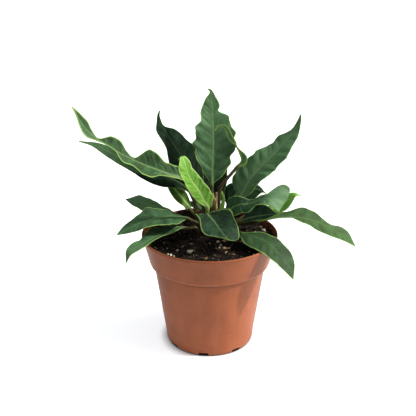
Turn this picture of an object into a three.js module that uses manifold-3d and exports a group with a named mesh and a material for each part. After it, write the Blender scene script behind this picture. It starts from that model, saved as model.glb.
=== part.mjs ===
import * as THREE from "three";
import { mergeVertices } from "three/addons/utils/BufferGeometryUtils.js";
import Module from "manifold-3d";

// A young rosette of a strap-leaved anthurium in its plastic nursery pot.
// Millimetres, +Z up, origin at the centre of the pot's base, -Y towards the viewer.

// Pot
const RIM_RADIUS = 60;
const POT_HEIGHT = 103;
const BASE_RADIUS = 39.5;
const CORNER_RADIUS = 3;
const BODY_TOP_RADIUS = 49.8;
const COLLAR_FOOT_RADIUS = 53;
const COLLAR_HEIGHT = 27;
const WALL = 1.3;
const FLOOR = 2.2;
const POT_SIDES = 48;
const SLOTS = 8;
const SLOT_WIDTH = 9;
const SLOT_HEIGHT = 3.4;
const SLOT_DEPTH = 6;
const SLOT_TURN = -8;

// Soil
const GAP = 0.5;
const SOIL_LEVEL = 98.5;
const LUMP_HEIGHTS = [0.8, 0.5];
const SOIL_FOOT = 4.5;
const SOIL_SIDES = 32;
const SOIL_RINGS = 7;
const CHIPS = 16;
const CHIP_RING = [24, 51];
const CHIP_SIZE = [1.6, 3];

// Stem and leaves
const CROWN = [4, 6];
const STEM_SIDES = 10;
const STEM_RADIUS = 2.8;
const STEM_TOP = 134;
const ROOT_DEPTH = 93;
const PETIOLE_RADIUS = 1.4;
const TIP_HALF_WIDTH = 0.6;
const BLADE_THICKNESS = 0.8;
const RIB_THICKNESS = 2;
const PETIOLE_STEPS = 4;
const ACROSS = 4;

// Heaps and hollows of the soil: at the stem, at the back left and at the left edge.
const HEAPS = [
  { at: CROWN, rise: 4, spread: 16 },
  { at: [-22, 44], rise: 5, spread: 10 },
  { at: [-56, -2], rise: -6, spread: 10.5 },
];

const COLOURS = {
  pot: new THREE.Color(0.36, 0.11, 0.055),
  soil: new THREE.Color(0.012, 0.008, 0.005),
  leaf: new THREE.Color(0.022, 0.075, 0.026),
  young: new THREE.Color(0.1, 0.3, 0.04),
  stem: new THREE.Color(0.2, 0.12, 0.06),
};

// Each leaf is one midrib, from its root in the soil to its tip. Petiole points are
// x, y, z, the first without its depth; blade points add the roll about the midrib in
// degrees. Heading is the compass of the blade's run, which sets its level side direction.
// Base and taper set how full the blade's two ends are, fold its V, and ruffle, wave,
// waves and phase the lobes and waves of its margin; offset shifts them on the right side.
// Left and right, where given, are the blade's width each side of its midrib at even
// steps from its base to its tip, in place of the plain outline and its lobes.
const PLAIN_BLADE = {
  halfWidth: 10, widest: 0.42, base: 1, taper: 1.2, fold: 9,
  ruffle: 0.04, wave: 1, waves: 2, phase: 0, offset: 0.4, steps: 15,
};
const LEAVES = {
  leaf_centre: {
    heading: 90,
    petiole: [[1.5, 10.5], [2, 11, 118], [2, 11.5, 141]],
    blade: [
      [2, 12, 148, 0], [3, 16, 165, 0], [3.5, 22, 182, 0], [3, 29, 199, 0],
      [2, 35, 214.5, 0], [1, 37, 220.5, 0], [-1.5, 37, 223, 0],
    ],
    left: [4, 7.5, 10, 12, 14.5, 16.5, 17, 18, 17.5, 16.5, 16, 15.5, 12, 10.5, 11, 9.5, 7.5, 5, 1.5],
    right: [6.5, 10, 12.5, 15, 15.5, 16.5, 19, 19.5, 20, 19.5, 17.5, 16, 15, 13, 5.5, 6.5, 5.5, 3.5, 2],
    widest: 0.42, taper: 1.6, fold: 14, wave: 2.6, waves: 2.2, phase: 0.84, steps: 24,
  },
  leaf_left_back: {
    heading: 125,
    petiole: [[-1, 16], [-2.5, 18, 120], [-5, 21, 136]],
    blade: [
      [-8.5, 24, 142.5, 0], [-15, 28, 149, 0], [-23, 33, 159, 0], [-30.5, 37, 169.5, 0],
      [-37.5, 40, 180.5, 0], [-43, 42, 189.5, 0], [-45.5, 43, 196, 0], [-44.5, 43, 202, 0],
    ],
    left: [8, 13, 16, 17, 13.5, 10.5, 9, 8, 2.5],
    right: [8, 13, 16, 16.5, 14.5, 13, 10, 1.8, 1.5],
    widest: 0.45, taper: 1.5, fold: 10, wave: 1.6, waves: 2, phase: 0.1, steps: 20,
  },
  leaf_left_long: {
    heading: 180,
    petiole: [[-3.5, 11], [-5, 9, 120], [-13, 4, 144]],
    blade: [
      [-24, 2, 153, -40], [-33, -1, 157, -45], [-45, -4, 163, -45], [-56, -6, 168, -45],
      [-65, -8, 173, -35], [-75, -9, 179, -38], [-85, -9, 186, -35], [-95, -8, 192, -35],
      [-104, -8, 202, -50], [-113, -6, 218, -50],
    ],
    left: [2.5, 2.5, 5, 12, 12.5, 8, 8, 1.5, 1.5, 2, 5.5, 4, 1.5],
    right: [8, 9, 9.5, 12.5, 13, 3, 5.3, 8.7, 8.2, 2, 3.5, 5, 3.3],
    widest: 0.25, taper: 0.9, fold: 24, wave: 1.5, waves: 3.55, phase: 0.06, offset: 0, steps: 26,
  },
  leaf_left_under: {
    heading: 180,
    petiole: [[-8.5, 11], [-12, 13, 115], [-14, 14, 128]],
    blade: [
      [-21, 14, 140, -20], [-35, 14, 149, -25], [-52, 13, 155, -25], [-69, 12, 163, -25],
      [-84, 11, 172, -25], [-98, 10, 180, -25], [-112, 9, 184, -25],
    ],
    left: [6, 11, 14.5, 15.5, 15, 13, 10.5, 8.5, 6.5, 4.5, 2],
    right: [6, 9, 10, 10, 9.5, 9, 8, 7, 5.5, 4, 2],
    fold: 10, wave: 1.2, phase: 0.2,
  },
  leaf_lime: {
    heading: 120, young: true,
    petiole: [[-3.5, 1.5], [-3, 0, 108], [-2, -3, 123.5]],
    blade: [
      [-2, -5, 129.5, 0], [-5.5, -9, 137.5, 0], [-9.5, -15, 148.5, 0], [-15, -20, 158.5, 0],
      [-18.5, -24, 168.5, 0], [-20.5, -26, 176.5, 0], [-23, -24, 180.5, 0], [-25.5, -19, 176.5, 0],
    ],
    left: [3, 5.5, 7, 7.5, 7, 6.5, 7, 7, 2],
    right: [8.5, 9, 8.5, 7.5, 7.5, 7, 5, 4.5, 2.5],
    widest: 0.45, base: 0.45, taper: 0.35, fold: 8, wave: 0.6,
  },
  leaf_left_small: {
    heading: 160, young: true,
    petiole: [[-6, 16], [-11, 20, 108], [-17, 21, 116]],
    blade: [[-20, 21, 121, -40], [-26, 22, 129, -45], [-33, 22, 138, -45], [-39, 22, 147, -40]],
    halfWidth: 6.5, widest: 0.45, base: 0.7, taper: 1, fold: 8, wave: 0.6, waves: 1,
  },
  leaf_left_low: {
    heading: 182,
    petiole: [[-11, 6], [-15, 11, 107], [-26, 14.5, 110.5]],
    blade: [
      [-35.5, 16, 114, -10], [-42, 17, 116.5, -15], [-48, 18, 119.5, -15], [-55.5, 18, 122, -15],
      [-62.5, 18, 124, -15], [-69.5, 17, 126, -10], [-75, 16, 128, 0],
    ],
    left: [6, 10, 12, 12, 12, 10.5, 8],
    right: [6, 5, 7, 8.5, 7.5, 9, 6],
    widest: 0.5, fold: 10, wave: 1, phase: 0.5,
  },
  leaf_left_big: {
    heading: 200,
    petiole: [[-6, 5], [-9, 4, 108], [-18, 1, 115]],
    blade: [
      [-24, -2, 118, -10], [-35, -7, 121, -15], [-46, -12, 121, -15],
      [-57, -17, 120, -15], [-68, -21, 116, -15], [-79, -24, 111, -10],
    ],
    left: [8, 14, 13.5, 12, 11.5, 11.5, 10, 7, 4],
    right: [4.5, 9.5, 9, 11.5, 14, 11, 9, 7, 5],
    fold: 10,
  },
  leaf_left_front: {
    heading: 215,
    petiole: [[-8.5, 1], [-11, -1.5, 107], [-19, -5, 109]],
    blade: [
      [-29, -7, 111, -5], [-34.5, -9, 111.5, -5], [-39.5, -13, 109.5, -5], [-45, -19, 108, -10],
      [-50.5, -25, 107, -10], [-56, -31, 106, -10], [-61, -36, 105, -10], [-66, -40, 102.5, -10],
      [-68.5, -43, 99, -5], [-70, -43, 93.5, 0],
    ],
    left: [9, 9, 5, 4, 4.5, 4.5, 4.5, 4, 2.5],
    right: [3, 4.5, 9, 10, 8.5, 6.5, 6.5, 6, 3],
    widest: 0.45, fold: 6, phase: 0.25,
  },
  leaf_front: {
    heading: 298,
    petiole: [[3, -2], [0, -5.5, 112], [-2.3, -7, 121.5]],
    blade: [
      [-2, -9, 123.5, 0], [0.5, -13, 122.5, 0], [3.5, -19, 121.5, 0], [6.5, -25.5, 119.5, 0],
      [9.5, -32, 117.5, 0], [12.5, -37, 116, -10], [14.5, -40.5, 115, -20], [16.5, -43, 114.5, -30],
    ],
    left: [5, 10.5, 13.5, 16, 16.5, 16.5, 16.3, 16.3, 16.5, 16.7, 16.5, 16, 15, 13.5, 11],
    right: [15, 16.5, 16.5, 18, 19, 16, 1.2],
    widest: 0.45, base: 0.6, taper: 0.8, fold: 20, wave: 5, waves: 0.5, phase: 0.25, offset: 0,
  },
  leaf_right_front: {
    heading: 325,
    petiole: [[12, -4], [15, -7, 106], [21, -10, 107.5]],
    blade: [
      [28, -14, 108, 5], [38, -21, 108, 10], [49, -28, 106, 12],
      [58, -35, 99, 12], [66, -40, 90, 10], [70.5, -43, 78, 0],
    ],
    left: [2.5, 5, 8, 8.5, 10.5, 10.5, 10, 8, 5],
    right: [7, 12.5, 16, 17, 16, 13.5, 10.5, 8.5, 5],
    fold: 8, waves: 1.5,
  },
  leaf_right_far: {
    heading: 350,
    petiole: [[14, 6], [19, 5, 107], [36, 0, 112]],
    blade: [
      [50, -3, 117, 10], [68, -6, 120, 15], [83, -9, 119.5, 15],
      [97, -12, 116, 15], [112, -16, 108, 10], [126, -20, 98, 0],
    ],
    left: [4, 7, 9, 12.5, 10.5, 6.5, 6, 12, 12],
    right: [2, 1.5, 1.5, 6.5, 8, 12, 13, 10, 5],
    widest: 0.4, fold: 8, wave: 1.2, phase: 0.25,
  },
  leaf_right_wavy: {
    heading: 340,
    petiole: [[12.5, 1.5], [12.5, 0, 108], [13, -2, 118]],
    blade: [
      [15, -5, 124.5, 40], [21, -10, 131, 40], [26.5, -14, 135, 40], [32.5, -17, 136.5, 35],
      [37.5, -19, 139, 30], [42, -21, 142, 30], [47, -23, 144, 30], [51, -25, 143, 30],
      [54.5, -27, 139.5, 30], [57.5, -29, 134.5, 20],
    ],
    left: [5.5, 10, 10.5, 10.5, 9.5, 8.5, 7, 6, 5, 4.5, 4.5, 4.5, 4.5, 4, 5.5, 19, 21.5, 16, 8],
    right: [6, 8.5, 9, 9, 10, 6.5, 7, 7, 3.5],
    widest: 0.6, base: 0.5, taper: 0.8, fold: 4, wave: 1, waves: 1.7, phase: 0.87, steps: 34,
  },
  leaf_right_back: {
    heading: 50,
    petiole: [[11.5, 11], [16, 11, 112], [24, 12, 127]],
    blade: [
      [27.5, 13, 132.5, 0], [36, 16, 147, 0], [46, 19, 158.5, 0], [59, 22, 171, 0],
      [69.5, 25, 182.5, 0], [75.5, 27, 190.5, 0], [78, 27, 197, 0], [79, 26, 203, 0],
    ],
    left: [14, 17, 15.5, 14, 13, 10, 9, 4, 2.5],
    right: [8, 10, 14, 15, 14, 15, 10, 7, 3],
    widest: 0.36, taper: 1.1, fold: 10, wave: 1.4, waves: 3,
  },
  leaf_right_small: {
    heading: 0,
    petiole: [[17, 11], [24, 13, 108], [40, 13, 116]],
    blade: [
      [54, 12, 120, 35], [63, 11, 124, 40], [69.5, 9.5, 130, 35],
      [75, 8, 135, 20], [81, 6.5, 135, 0],
    ],
    left: [3, 5, 7, 8.5, 8.5, 7.5, 6, 4.5, 2],
    right: [3, 4, 5.5, 6.5, 7, 7, 6, 4.5, 2],
    fold: 8, waves: 1,
  },
  leaf_right_dark: {
    heading: 25,
    petiole: [[14, 16], [15, 18, 112], [16, 20, 118]],
    blade: [
      [18, 21, 124, 25], [26, 23, 131, 25], [36, 24, 134, 25],
      [45, 24, 134, 20], [52, 23, 130, 10],
    ],
    left: [8, 12, 13, 11.5, 10, 9, 7, 5, 2],
    right: [5, 9, 13, 16, 17, 16, 13, 9, 3],
    fold: 8, waves: 1.5,
  },
  leaf_right_under: {
    heading: 355,
    petiole: [[17, 0], [20, -1.5, 107], [25, -2, 112]],
    blade: [[31, -3, 116.5, 20], [41, -5, 120, 20], [51, -8, 123, 20], [60, -10, 125, 10]],
    left: [5, 11, 13.5, 14, 13, 11.5, 9.5, 6, 2],
    right: [3, 5, 6.5, 7, 7, 6.5, 5.5, 4, 2],
    fold: 8, waves: 1, phase: 0.5,
  },
  leaf_curled: {
    heading: 340,
    petiole: [[10, 5.5], [8.2, 4, 125], [9, 2, 143], [14, 0, 152], [21.5, -3, 162.5]],
    blade: [
      [27, -4, 170, 60], [26.5, -4, 177, 60], [22, -3, 184, 60], [18.5, -1, 190.5, 60],
      [15, 1, 196, 60], [10.5, 3, 199, 60], [6.5, 5, 198.5, 60], [4, 7, 193.5, 60],
    ],
    left: [1.2, 2, 1.6, 1.2, 4.3, 4, 2, 0.8, 0.9],
    right: [6.5, 8, 1.6, 2.5, 4.5, 4.5, 5.5, 1.8, 0.8],
    widest: 0.5, fold: 20, wave: 0.4, waves: 1.5, steps: 20,
  },
  leaf_back: {
    heading: 92,
    petiole: [[4, 17], [3.8, 21, 106], [3, 25, 112]],
    blade: [
      [2.5, 29, 119, 0], [2, 37, 133, 0], [2, 47, 149, 0],
      [1, 57, 162, 0], [-1, 66, 170, 0], [-4, 75, 173, 0],
    ],
    left: [9, 12, 14, 14, 13, 12, 10, 7, 2],
    right: [9, 12, 14, 14.5, 14, 12, 10, 7, 2],
    fold: 10, wave: 1.4,
  },
  leaf_back_left: {
    heading: 110,
    petiole: [[-3, 21], [-4, 27, 107], [-6, 34, 108.5]],
    blade: [[-8, 40, 109, 0], [-12, 51, 110, 0], [-16, 62, 108, 0], [-20, 73, 101, 0], [-23, 82, 92, 0]],
    halfWidth: 12, widest: 0.45, fold: 8, phase: 0.3,
  },
  leaf_back_right: {
    heading: 60,
    petiole: [[9, 20], [14, 28, 107], [18, 33, 110]],
    blade: [[22, 38, 113, 30], [30, 49, 116, 32], [38, 60, 114, 30], [45, 71, 107, 20], [50, 80, 98, 10]],
    left: [4, 9, 12, 13, 12.5, 11, 9, 6, 2],
    right: [4, 10, 15, 17, 17, 15, 12, 8, 2],
    fold: 8,
  },
  leaf_shoot: {
    heading: 0, young: true,
    petiole: [[7.5, -3], [8.5, -3.5, 112]],
    blade: [[9.5, -3, 121, 60], [11, -2.5, 128, 60], [12, -2.5, 135, 60], [10.5, -1.5, 142, 60]],
    halfWidth: 2.2, widest: 0.4, base: 0.6, taper: 1, fold: 20, ruffle: 0, wave: 0.2, waves: 1,
  },
};

// Leaf surface

const radians = THREE.MathUtils.degToRad;

// The blade's half-width as a share of the widest: a sine up to it, a cosine past it.
function outline(leaf, along) {
  if (along <= 0 || along >= 1) return 0;
  if (along < leaf.widest) return Math.sin((Math.PI / 2) * (along / leaf.widest)) ** leaf.base;
  return Math.cos((Math.PI / 2) * ((along - leaf.widest) / (1 - leaf.widest))) ** leaf.taper;
}

// A leaf's midrib curve, its roll along the curve, and where the blade begins on it.
function midrib(leaf) {
  const root = [...leaf.petiole[0], ROOT_DEPTH];
  const points = [root, ...leaf.petiole.slice(1), ...leaf.blade];
  const places = points.map(([x, y, z]) => new THREE.Vector3(x, y, z));
  const rolls = points.map((point) => new THREE.Vector3(point[3] ?? leaf.blade[0][3], 0, 0));
  const curve = new THREE.CatmullRomCurve3(places, false, "catmullrom");
  const roll = new THREE.CatmullRomCurve3(rolls, false, "catmullrom");
  const lengths = curve.getLengths();
  const bladeStart = (leaf.petiole.length - 0.5) / (points.length - 1);
  const length = lengths[lengths.length - 1];
  const start = lengths[Math.round(bladeStart * (lengths.length - 1))] / length;
  const [left, right] = [leaf.left, leaf.right].map(margin);
  return { curve, roll, length, start, left, right };
}

// The curve of a listed half-width along the blade.
function margin(widths) {
  if (!widths) return undefined;
  const values = [PETIOLE_RADIUS, ...widths, TIP_HALF_WIDTH];
  const places = values.map((width) => new THREE.Vector3(width, 0, 0));
  return new THREE.CatmullRomCurve3(places, false, "catmullrom");
}

// A point of the leaf's middle surface: share is the place along the midrib, across runs -1 to 1.
function surfacePoint(leaf, rib, share, across) {
  const t = rib.curve.getUtoTmapping(share);
  const centre = rib.curve.getPoint(t);
  const tangent = rib.curve.getTangent(t);
  const heading = radians(leaf.heading);
  const side = new THREE.Vector3(Math.sin(heading), -Math.cos(heading), 0);
  side.addScaledVector(tangent, -side.dot(tangent)).normalize();
  side.applyAxisAngle(tangent, radians(rib.roll.getPoint(t).x));
  const up = new THREE.Vector3().crossVectors(side, tangent);
  const along = (share - rib.start) / (1 - rib.start);
  const shape = outline(leaf, along);
  const plain = THREE.MathUtils.lerp(PETIOLE_RADIUS, TIP_HALF_WIDTH, Math.max(along, 0));
  const turn = 2 * Math.PI * (leaf.waves * along + leaf.phase + (across > 0 ? leaf.offset : 0));
  const listed = across > 0 ? rib.right : rib.left;
  const lobed = plain + (leaf.halfWidth * (1 + leaf.ruffle * Math.sin(turn)) - plain) * shape;
  const half = listed ? listed.getPoint(THREE.MathUtils.clamp(along, 0, 1)).x : lobed;
  const fold = radians(leaf.fold) * shape;
  const lift = half * Math.abs(across) * Math.sin(fold) + leaf.wave * shape * across ** 2 * Math.sin(turn);
  return centre.addScaledVector(side, half * across * Math.cos(fold)).addScaledVector(up, lift);
}

// Half the leaf's thickness: round on the petiole, thin with a raised rib on the blade.
function halfThickness(rib, share, across, grow) {
  const along = (share - rib.start) / (1 - rib.start);
  const round = PETIOLE_RADIUS * Math.sqrt(1 - across ** 2);
  const blade = (RIB_THICKNESS * (1 - Math.max(along, 0)) * (1 - Math.abs(across)) ** 3) / 2;
  const blend = THREE.MathUtils.smoothstep(along, 0, 0.15);
  return Math.max(BLADE_THICKNESS / 2, THREE.MathUtils.lerp(round, blade, blend)) + grow;
}

// The leaf's skin over the given shares of its midrib, as one closed mesh.
function loft(leaf, rib, shares, grow = 0) {
  const positions = [];
  const step = 0.002;
  for (const face of [1, -1]) {
    for (const share of shares) {
      for (let j = 0; j <= ACROSS; j++) {
        const across = (2 * j) / ACROSS - 1;
        const point = surfacePoint(leaf, rib, share, across * (1 + grow / PETIOLE_RADIUS));
        const ahead = surfacePoint(leaf, rib, Math.min(share + step, 1), across);
        const behind = surfacePoint(leaf, rib, Math.max(share - step, 0), across);
        const right = surfacePoint(leaf, rib, share, across + 0.02);
        const left = surfacePoint(leaf, rib, share, across - 0.02);
        const normal = right.sub(left).cross(ahead.sub(behind)).normalize();
        point.addScaledVector(normal, face * halfThickness(rib, share, across, grow));
        positions.push(point.x, point.y, point.z);
      }
    }
  }
  const row = ACROSS + 1;
  const rows = shares.length;
  const under = row * rows;
  const index = [];
  const quad = (a, b, c, d) => index.push(a, b, c, a, c, d);
  for (let i = 0; i < rows - 1; i++) {
    for (let j = 0; j < ACROSS; j++) {
      const a = i * row + j;
      const b = under + a;
      index.push(a, a + 1, a + 1 + row, a, a + 1 + row, a + row);
      index.push(b, b + 1 + row, b + 1, b, b + row, b + 1 + row);
    }
    const right = i * row + ACROSS;
    quad(under + i * row, i * row, (i + 1) * row, under + (i + 1) * row);
    quad(right, under + right, under + right + row, right + row);
  }
  const last = (rows - 1) * row;
  for (let j = 0; j < ACROSS; j++) {
    quad(j + 1, j, under + j, under + j + 1);
    quad(last + j, last + j + 1, under + last + j + 1, under + last + j);
  }
  const geometry = new THREE.BufferGeometry();
  geometry.setAttribute("position", new THREE.Float32BufferAttribute(positions, 3));
  geometry.setIndex(index);
  return geometry;
}

function shares(from, to, steps) {
  return Array.from({ length: steps + 1 }, (_, i) => from + ((to - from) * i) / steps);
}

function leafGeometry(leaf) {
  const rib = midrib(leaf);
  const foot = (2 * GAP) / rib.length;
  const stations = [...shares(foot, rib.start, PETIOLE_STEPS), ...shares(rib.start, 1, leaf.steps).slice(1)];
  return loft(leaf, rib, stations);
}

// The petiole alone, grown by the gap: the hole it stands in.
function petioleHole(leaf) {
  const rib = midrib(leaf);
  const foot = (2 * GAP) / rib.length;
  return loft(leaf, rib, [0, ...shares(foot, rib.start, PETIOLE_STEPS).slice(1)], GAP);
}

// Joining and cutting

const wasm = await Module();
wasm.setup();

function solid(geometry) {
  const bare = geometry.clone();
  bare.deleteAttribute("normal");
  bare.deleteAttribute("uv");
  const merged = mergeVertices(bare, 1e-4);
  const mesh = new wasm.Mesh({
    numProp: 3,
    vertProperties: Float32Array.from(merged.attributes.position.array),
    triVerts: Uint32Array.from(merged.index.array),
  });
  return new wasm.Manifold(mesh);
}

function geometryOf(body) {
  const mesh = body.getMesh();
  const geometry = new THREE.BufferGeometry();
  geometry.setAttribute("position", new THREE.BufferAttribute(mesh.vertProperties, 3));
  geometry.setIndex(new THREE.BufferAttribute(mesh.triVerts, 1));
  return geometry;
}

// Pot: a thin flared shell with a stepped collar, a foot band and slots round its base.

const STEP_HEIGHT = POT_HEIGHT - COLLAR_HEIGHT;
const INNER_FOOT = [BASE_RADIUS - WALL + 0.3, CORNER_RADIUS + 1];
const INNER_LEDGE = [BODY_TOP_RADIUS - WALL, STEP_HEIGHT + 0.5];
const INNER_COLLAR = [COLLAR_FOOT_RADIUS - WALL, STEP_HEIGHT + WALL];
const INNER_RIM = [RIM_RADIUS - WALL, POT_HEIGHT];

function lathe(profile, sides) {
  const turned = new THREE.LatheGeometry(profile.map(([r, z]) => new THREE.Vector2(r, z)), sides);
  return turned.rotateX(Math.PI / 2);
}

function potGeometry() {
  const shell = lathe([
    [0, 0],
    [BASE_RADIUS - CORNER_RADIUS, 0],
    [BASE_RADIUS - 0.8, 0.9],
    [BASE_RADIUS + 0.2, CORNER_RADIUS],
    [BASE_RADIUS + 0.3, CORNER_RADIUS + 1.2],
    [BASE_RADIUS + 0.1, CORNER_RADIUS + 1.8],
    [BODY_TOP_RADIUS, STEP_HEIGHT - 0.4],
    [COLLAR_FOOT_RADIUS - 0.5, STEP_HEIGHT],
    [COLLAR_FOOT_RADIUS, STEP_HEIGHT + 1],
    [RIM_RADIUS - 0.7, POT_HEIGHT - 2.4],
    [RIM_RADIUS, POT_HEIGHT - 1.8],
    [RIM_RADIUS, POT_HEIGHT - 0.5],
    [RIM_RADIUS - 0.5, POT_HEIGHT],
    INNER_RIM,
    INNER_COLLAR,
    INNER_LEDGE,
    INNER_FOOT,
    [BASE_RADIUS - CORNER_RADIUS, FLOOR],
    [0, FLOOR],
  ], POT_SIDES);
  let pot = solid(shell);
  for (let i = 0; i < SLOTS; i++) {
    const slot = new THREE.BoxGeometry(SLOT_WIDTH, 2 * SLOT_DEPTH, 2 * SLOT_HEIGHT);
    slot.translate(0, -BASE_RADIUS, 0);
    slot.rotateZ(radians(SLOT_TURN + (360 * i) / SLOTS));
    pot = pot.subtract(solid(slot));
  }
  return geometryOf(pot);
}

// Soil: a plug that fills the pot, heaped round the stem and at the back left, low at the left edge.

function soilTop(x, y) {
  let z = SOIL_LEVEL;
  z += LUMP_HEIGHTS[0] * Math.sin(0.43 * x + 1.3) * Math.sin(0.51 * y);
  z += LUMP_HEIGHTS[1] * Math.sin(0.9 * x - 0.7 * y);
  for (const { at, rise, spread } of HEAPS) {
    z += rise * Math.exp(-((x - at[0]) ** 2 + (y - at[1]) ** 2) / (2 * spread ** 2));
  }
  return z;
}

// Each ring of the plug gives its points' distance from the axis and height, by direction.
function soilRings() {
  const [low, high] = [INNER_COLLAR, INNER_RIM];
  const wallRadius = (z) => THREE.MathUtils.mapLinear(z, low[1], high[1], low[0], high[0]);
  const edge = wallRadius(SOIL_LEVEL);
  const top = Array.from({ length: SOIL_RINGS }, (_, i) => (turn) => {
    const share = (i + 1) / SOIL_RINGS;
    const rim = soilTop(edge * Math.cos(turn), edge * Math.sin(turn));
    const radius = (wallRadius(Math.min(rim, POT_HEIGHT)) - GAP) * share;
    return [radius, soilTop(radius * Math.cos(turn), radius * Math.sin(turn))];
  });
  const wall = [
    [INNER_COLLAR[0] - GAP, INNER_COLLAR[1] + GAP],
    [INNER_LEDGE[0] - GAP, INNER_LEDGE[1] + GAP],
    [INNER_FOOT[0] - GAP, SOIL_FOOT],
  ].map((point) => () => point);
  return [...top, ...wall];
}

function soilPlug() {
  const rings = soilRings();
  const positions = [0, 0, soilTop(0, 0)];
  const index = [];
  rings.forEach((ring, i) => {
    for (let j = 0; j < SOIL_SIDES; j++) {
      const turn = (2 * Math.PI * j) / SOIL_SIDES;
      const [radius, z] = ring(turn);
      positions.push(radius * Math.cos(turn), radius * Math.sin(turn), z);
      const next = (j + 1) % SOIL_SIDES;
      const here = 1 + i * SOIL_SIDES;
      const inside = here - SOIL_SIDES;
      if (i === 0) index.push(0, here + j, here + next);
      else index.push(inside + j, here + j, here + next, inside + j, here + next, inside + next);
    }
  });
  const foot = positions.length / 3;
  const last = foot - SOIL_SIDES;
  positions.push(0, 0, SOIL_FOOT);
  for (let j = 0; j < SOIL_SIDES; j++) index.push(foot, last + ((j + 1) % SOIL_SIDES), last + j);
  const plug = new THREE.BufferGeometry();
  plug.setAttribute("position", new THREE.Float32BufferAttribute(positions, 3));
  plug.setIndex(index);
  return plug;
}

function soilGeometry(holes) {
  let soil = solid(soilPlug());
  for (const chip of chips()) soil = soil.add(solid(chip));
  for (const hole of holes) soil = soil.subtract(hole);
  return geometryOf(soil);
}

// Bark and grit chips, half sunk in the soil, at seeded places.
function chips() {
  let seed = 7;
  const random = () => {
    seed = (seed * 16807) % 2147483647;
    return seed / 2147483647;
  };
  const made = [];
  for (let i = 0; i < CHIPS; i++) {
    const turn = 2 * Math.PI * random();
    const reach = THREE.MathUtils.lerp(...CHIP_RING, random());
    const size = THREE.MathUtils.lerp(...CHIP_SIZE, random());
    const x = reach * Math.cos(turn);
    const y = reach * Math.sin(turn);
    const chip = new THREE.DodecahedronGeometry(size);
    chip.scale(1.3, 0.8, 0.7);
    chip.rotateZ(2 * Math.PI * random());
    chip.translate(x, y, soilTop(x, y));
    made.push(chip);
  }
  return made;
}

// Crown: the short stem that the rosette grows from, with dry pointed sheaths round it.

const SHEATH_HALF_WIDTH = 2;
const SHEATHS = [
  { heading: 90, petiole: [CROWN],
    blade: [[3.6, 6, 112, 0], [3.3, 3, 122, 0], [3, 1, 132, 0], [3, 0, 140, 0]] },
  { heading: 270, petiole: [CROWN],
    blade: [[4, 6, 114, 0], [5, 9, 122, 0], [6, 10, 131, 0], [6, 10, 137, 0]] },
];

function crownGeometry() {
  const stem = lathe([
    [0, ROOT_DEPTH],
    [STEM_RADIUS * 0.8, ROOT_DEPTH],
    [STEM_RADIUS, ROOT_DEPTH + 4],
    [STEM_RADIUS, STEM_TOP - 20],
    [STEM_RADIUS * 0.5, STEM_TOP - 2],
    [0, STEM_TOP],
  ], STEM_SIDES);
  stem.translate(CROWN[0], CROWN[1], 0);
  let crown = solid(stem);
  for (const sheath of SHEATHS) {
    const blade = leafGeometry({ ...PLAIN_BLADE, ...sheath, halfWidth: SHEATH_HALF_WIDTH });
    crown = crown.add(solid(blade));
  }
  return geometryOf(crown);
}

function crownHole() {
  const radius = STEM_RADIUS + GAP;
  const hole = new THREE.CylinderGeometry(radius, radius, STEM_TOP - ROOT_DEPTH, STEM_SIDES);
  hole.rotateX(Math.PI / 2);
  hole.translate(CROWN[0], CROWN[1], (STEM_TOP + ROOT_DEPTH) / 2 - GAP);
  return hole;
}

// Assembly

const plant = new THREE.Group();

function addMesh(name, geometry, color, roughness) {
  const mesh = new THREE.Mesh(geometry, new THREE.MeshStandardMaterial({ color, roughness, metalness: 0 }));
  mesh.name = name;
  plant.add(mesh);
}

const leaves = Object.entries(LEAVES).map(([name, leaf]) => ({ ...PLAIN_BLADE, ...leaf, name }));
const holes = [solid(crownHole()), ...leaves.map((leaf) => solid(petioleHole(leaf)))];
addMesh("pot", potGeometry(), COLOURS.pot, 0.5);
addMesh("soil", soilGeometry(holes), COLOURS.soil, 0.95);
addMesh("crown", crownGeometry(), COLOURS.stem, 0.7);
for (const leaf of leaves) {
  const colour = leaf.young ? COLOURS.young : COLOURS.leaf;
  addMesh(leaf.name, leafGeometry(leaf), colour, 0.4);
}

export default plant;
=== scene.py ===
"""The finished look of a young strap-leaved anthurium in its plastic nursery pot.

Values given are in millimetres unless their name says otherwise, and every mesh is in metres.
+Z is up, the pot stands on Z = 0 with its axis on the Z axis, and -Y is towards the viewer.
"""
import math
import random

import bmesh
import bpy
import numpy as np
from bpy.props import FloatProperty, FloatVectorProperty, IntProperty, PointerProperty
from mathutils import Matrix, Vector, noise


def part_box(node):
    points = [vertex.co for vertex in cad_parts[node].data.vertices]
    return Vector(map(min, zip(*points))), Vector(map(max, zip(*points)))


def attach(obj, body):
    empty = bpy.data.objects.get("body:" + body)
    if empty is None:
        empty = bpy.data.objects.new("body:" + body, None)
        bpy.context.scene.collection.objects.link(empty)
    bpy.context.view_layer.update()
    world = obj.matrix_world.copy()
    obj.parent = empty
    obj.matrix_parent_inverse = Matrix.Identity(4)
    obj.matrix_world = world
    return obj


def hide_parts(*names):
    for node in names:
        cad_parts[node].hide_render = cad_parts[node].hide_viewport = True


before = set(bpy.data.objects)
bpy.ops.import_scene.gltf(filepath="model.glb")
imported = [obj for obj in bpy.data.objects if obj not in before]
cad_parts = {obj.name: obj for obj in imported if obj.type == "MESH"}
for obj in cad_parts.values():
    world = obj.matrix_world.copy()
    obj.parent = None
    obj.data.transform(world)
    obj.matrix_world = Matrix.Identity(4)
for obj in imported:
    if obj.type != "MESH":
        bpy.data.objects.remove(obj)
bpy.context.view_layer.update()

bl_info = {
    "name": "Potted anthurium",
    "version": (1, 0, 0),
    "blender": (4, 5, 0),
    "location": "3D View > Sidebar > Anthurium",
    "description": "Builds the finished pot, soil, stem and leaves of a young anthurium",
    "category": "Object",
}

MM = 0.001
BODY = "root"
MERGE_DISTANCE = 0.005
NOISE_SEED = 1  # The clock seeds the noise otherwise
RIM_RADIUS, _, POT_HEIGHT = (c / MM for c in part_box("pot")[1])

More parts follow.
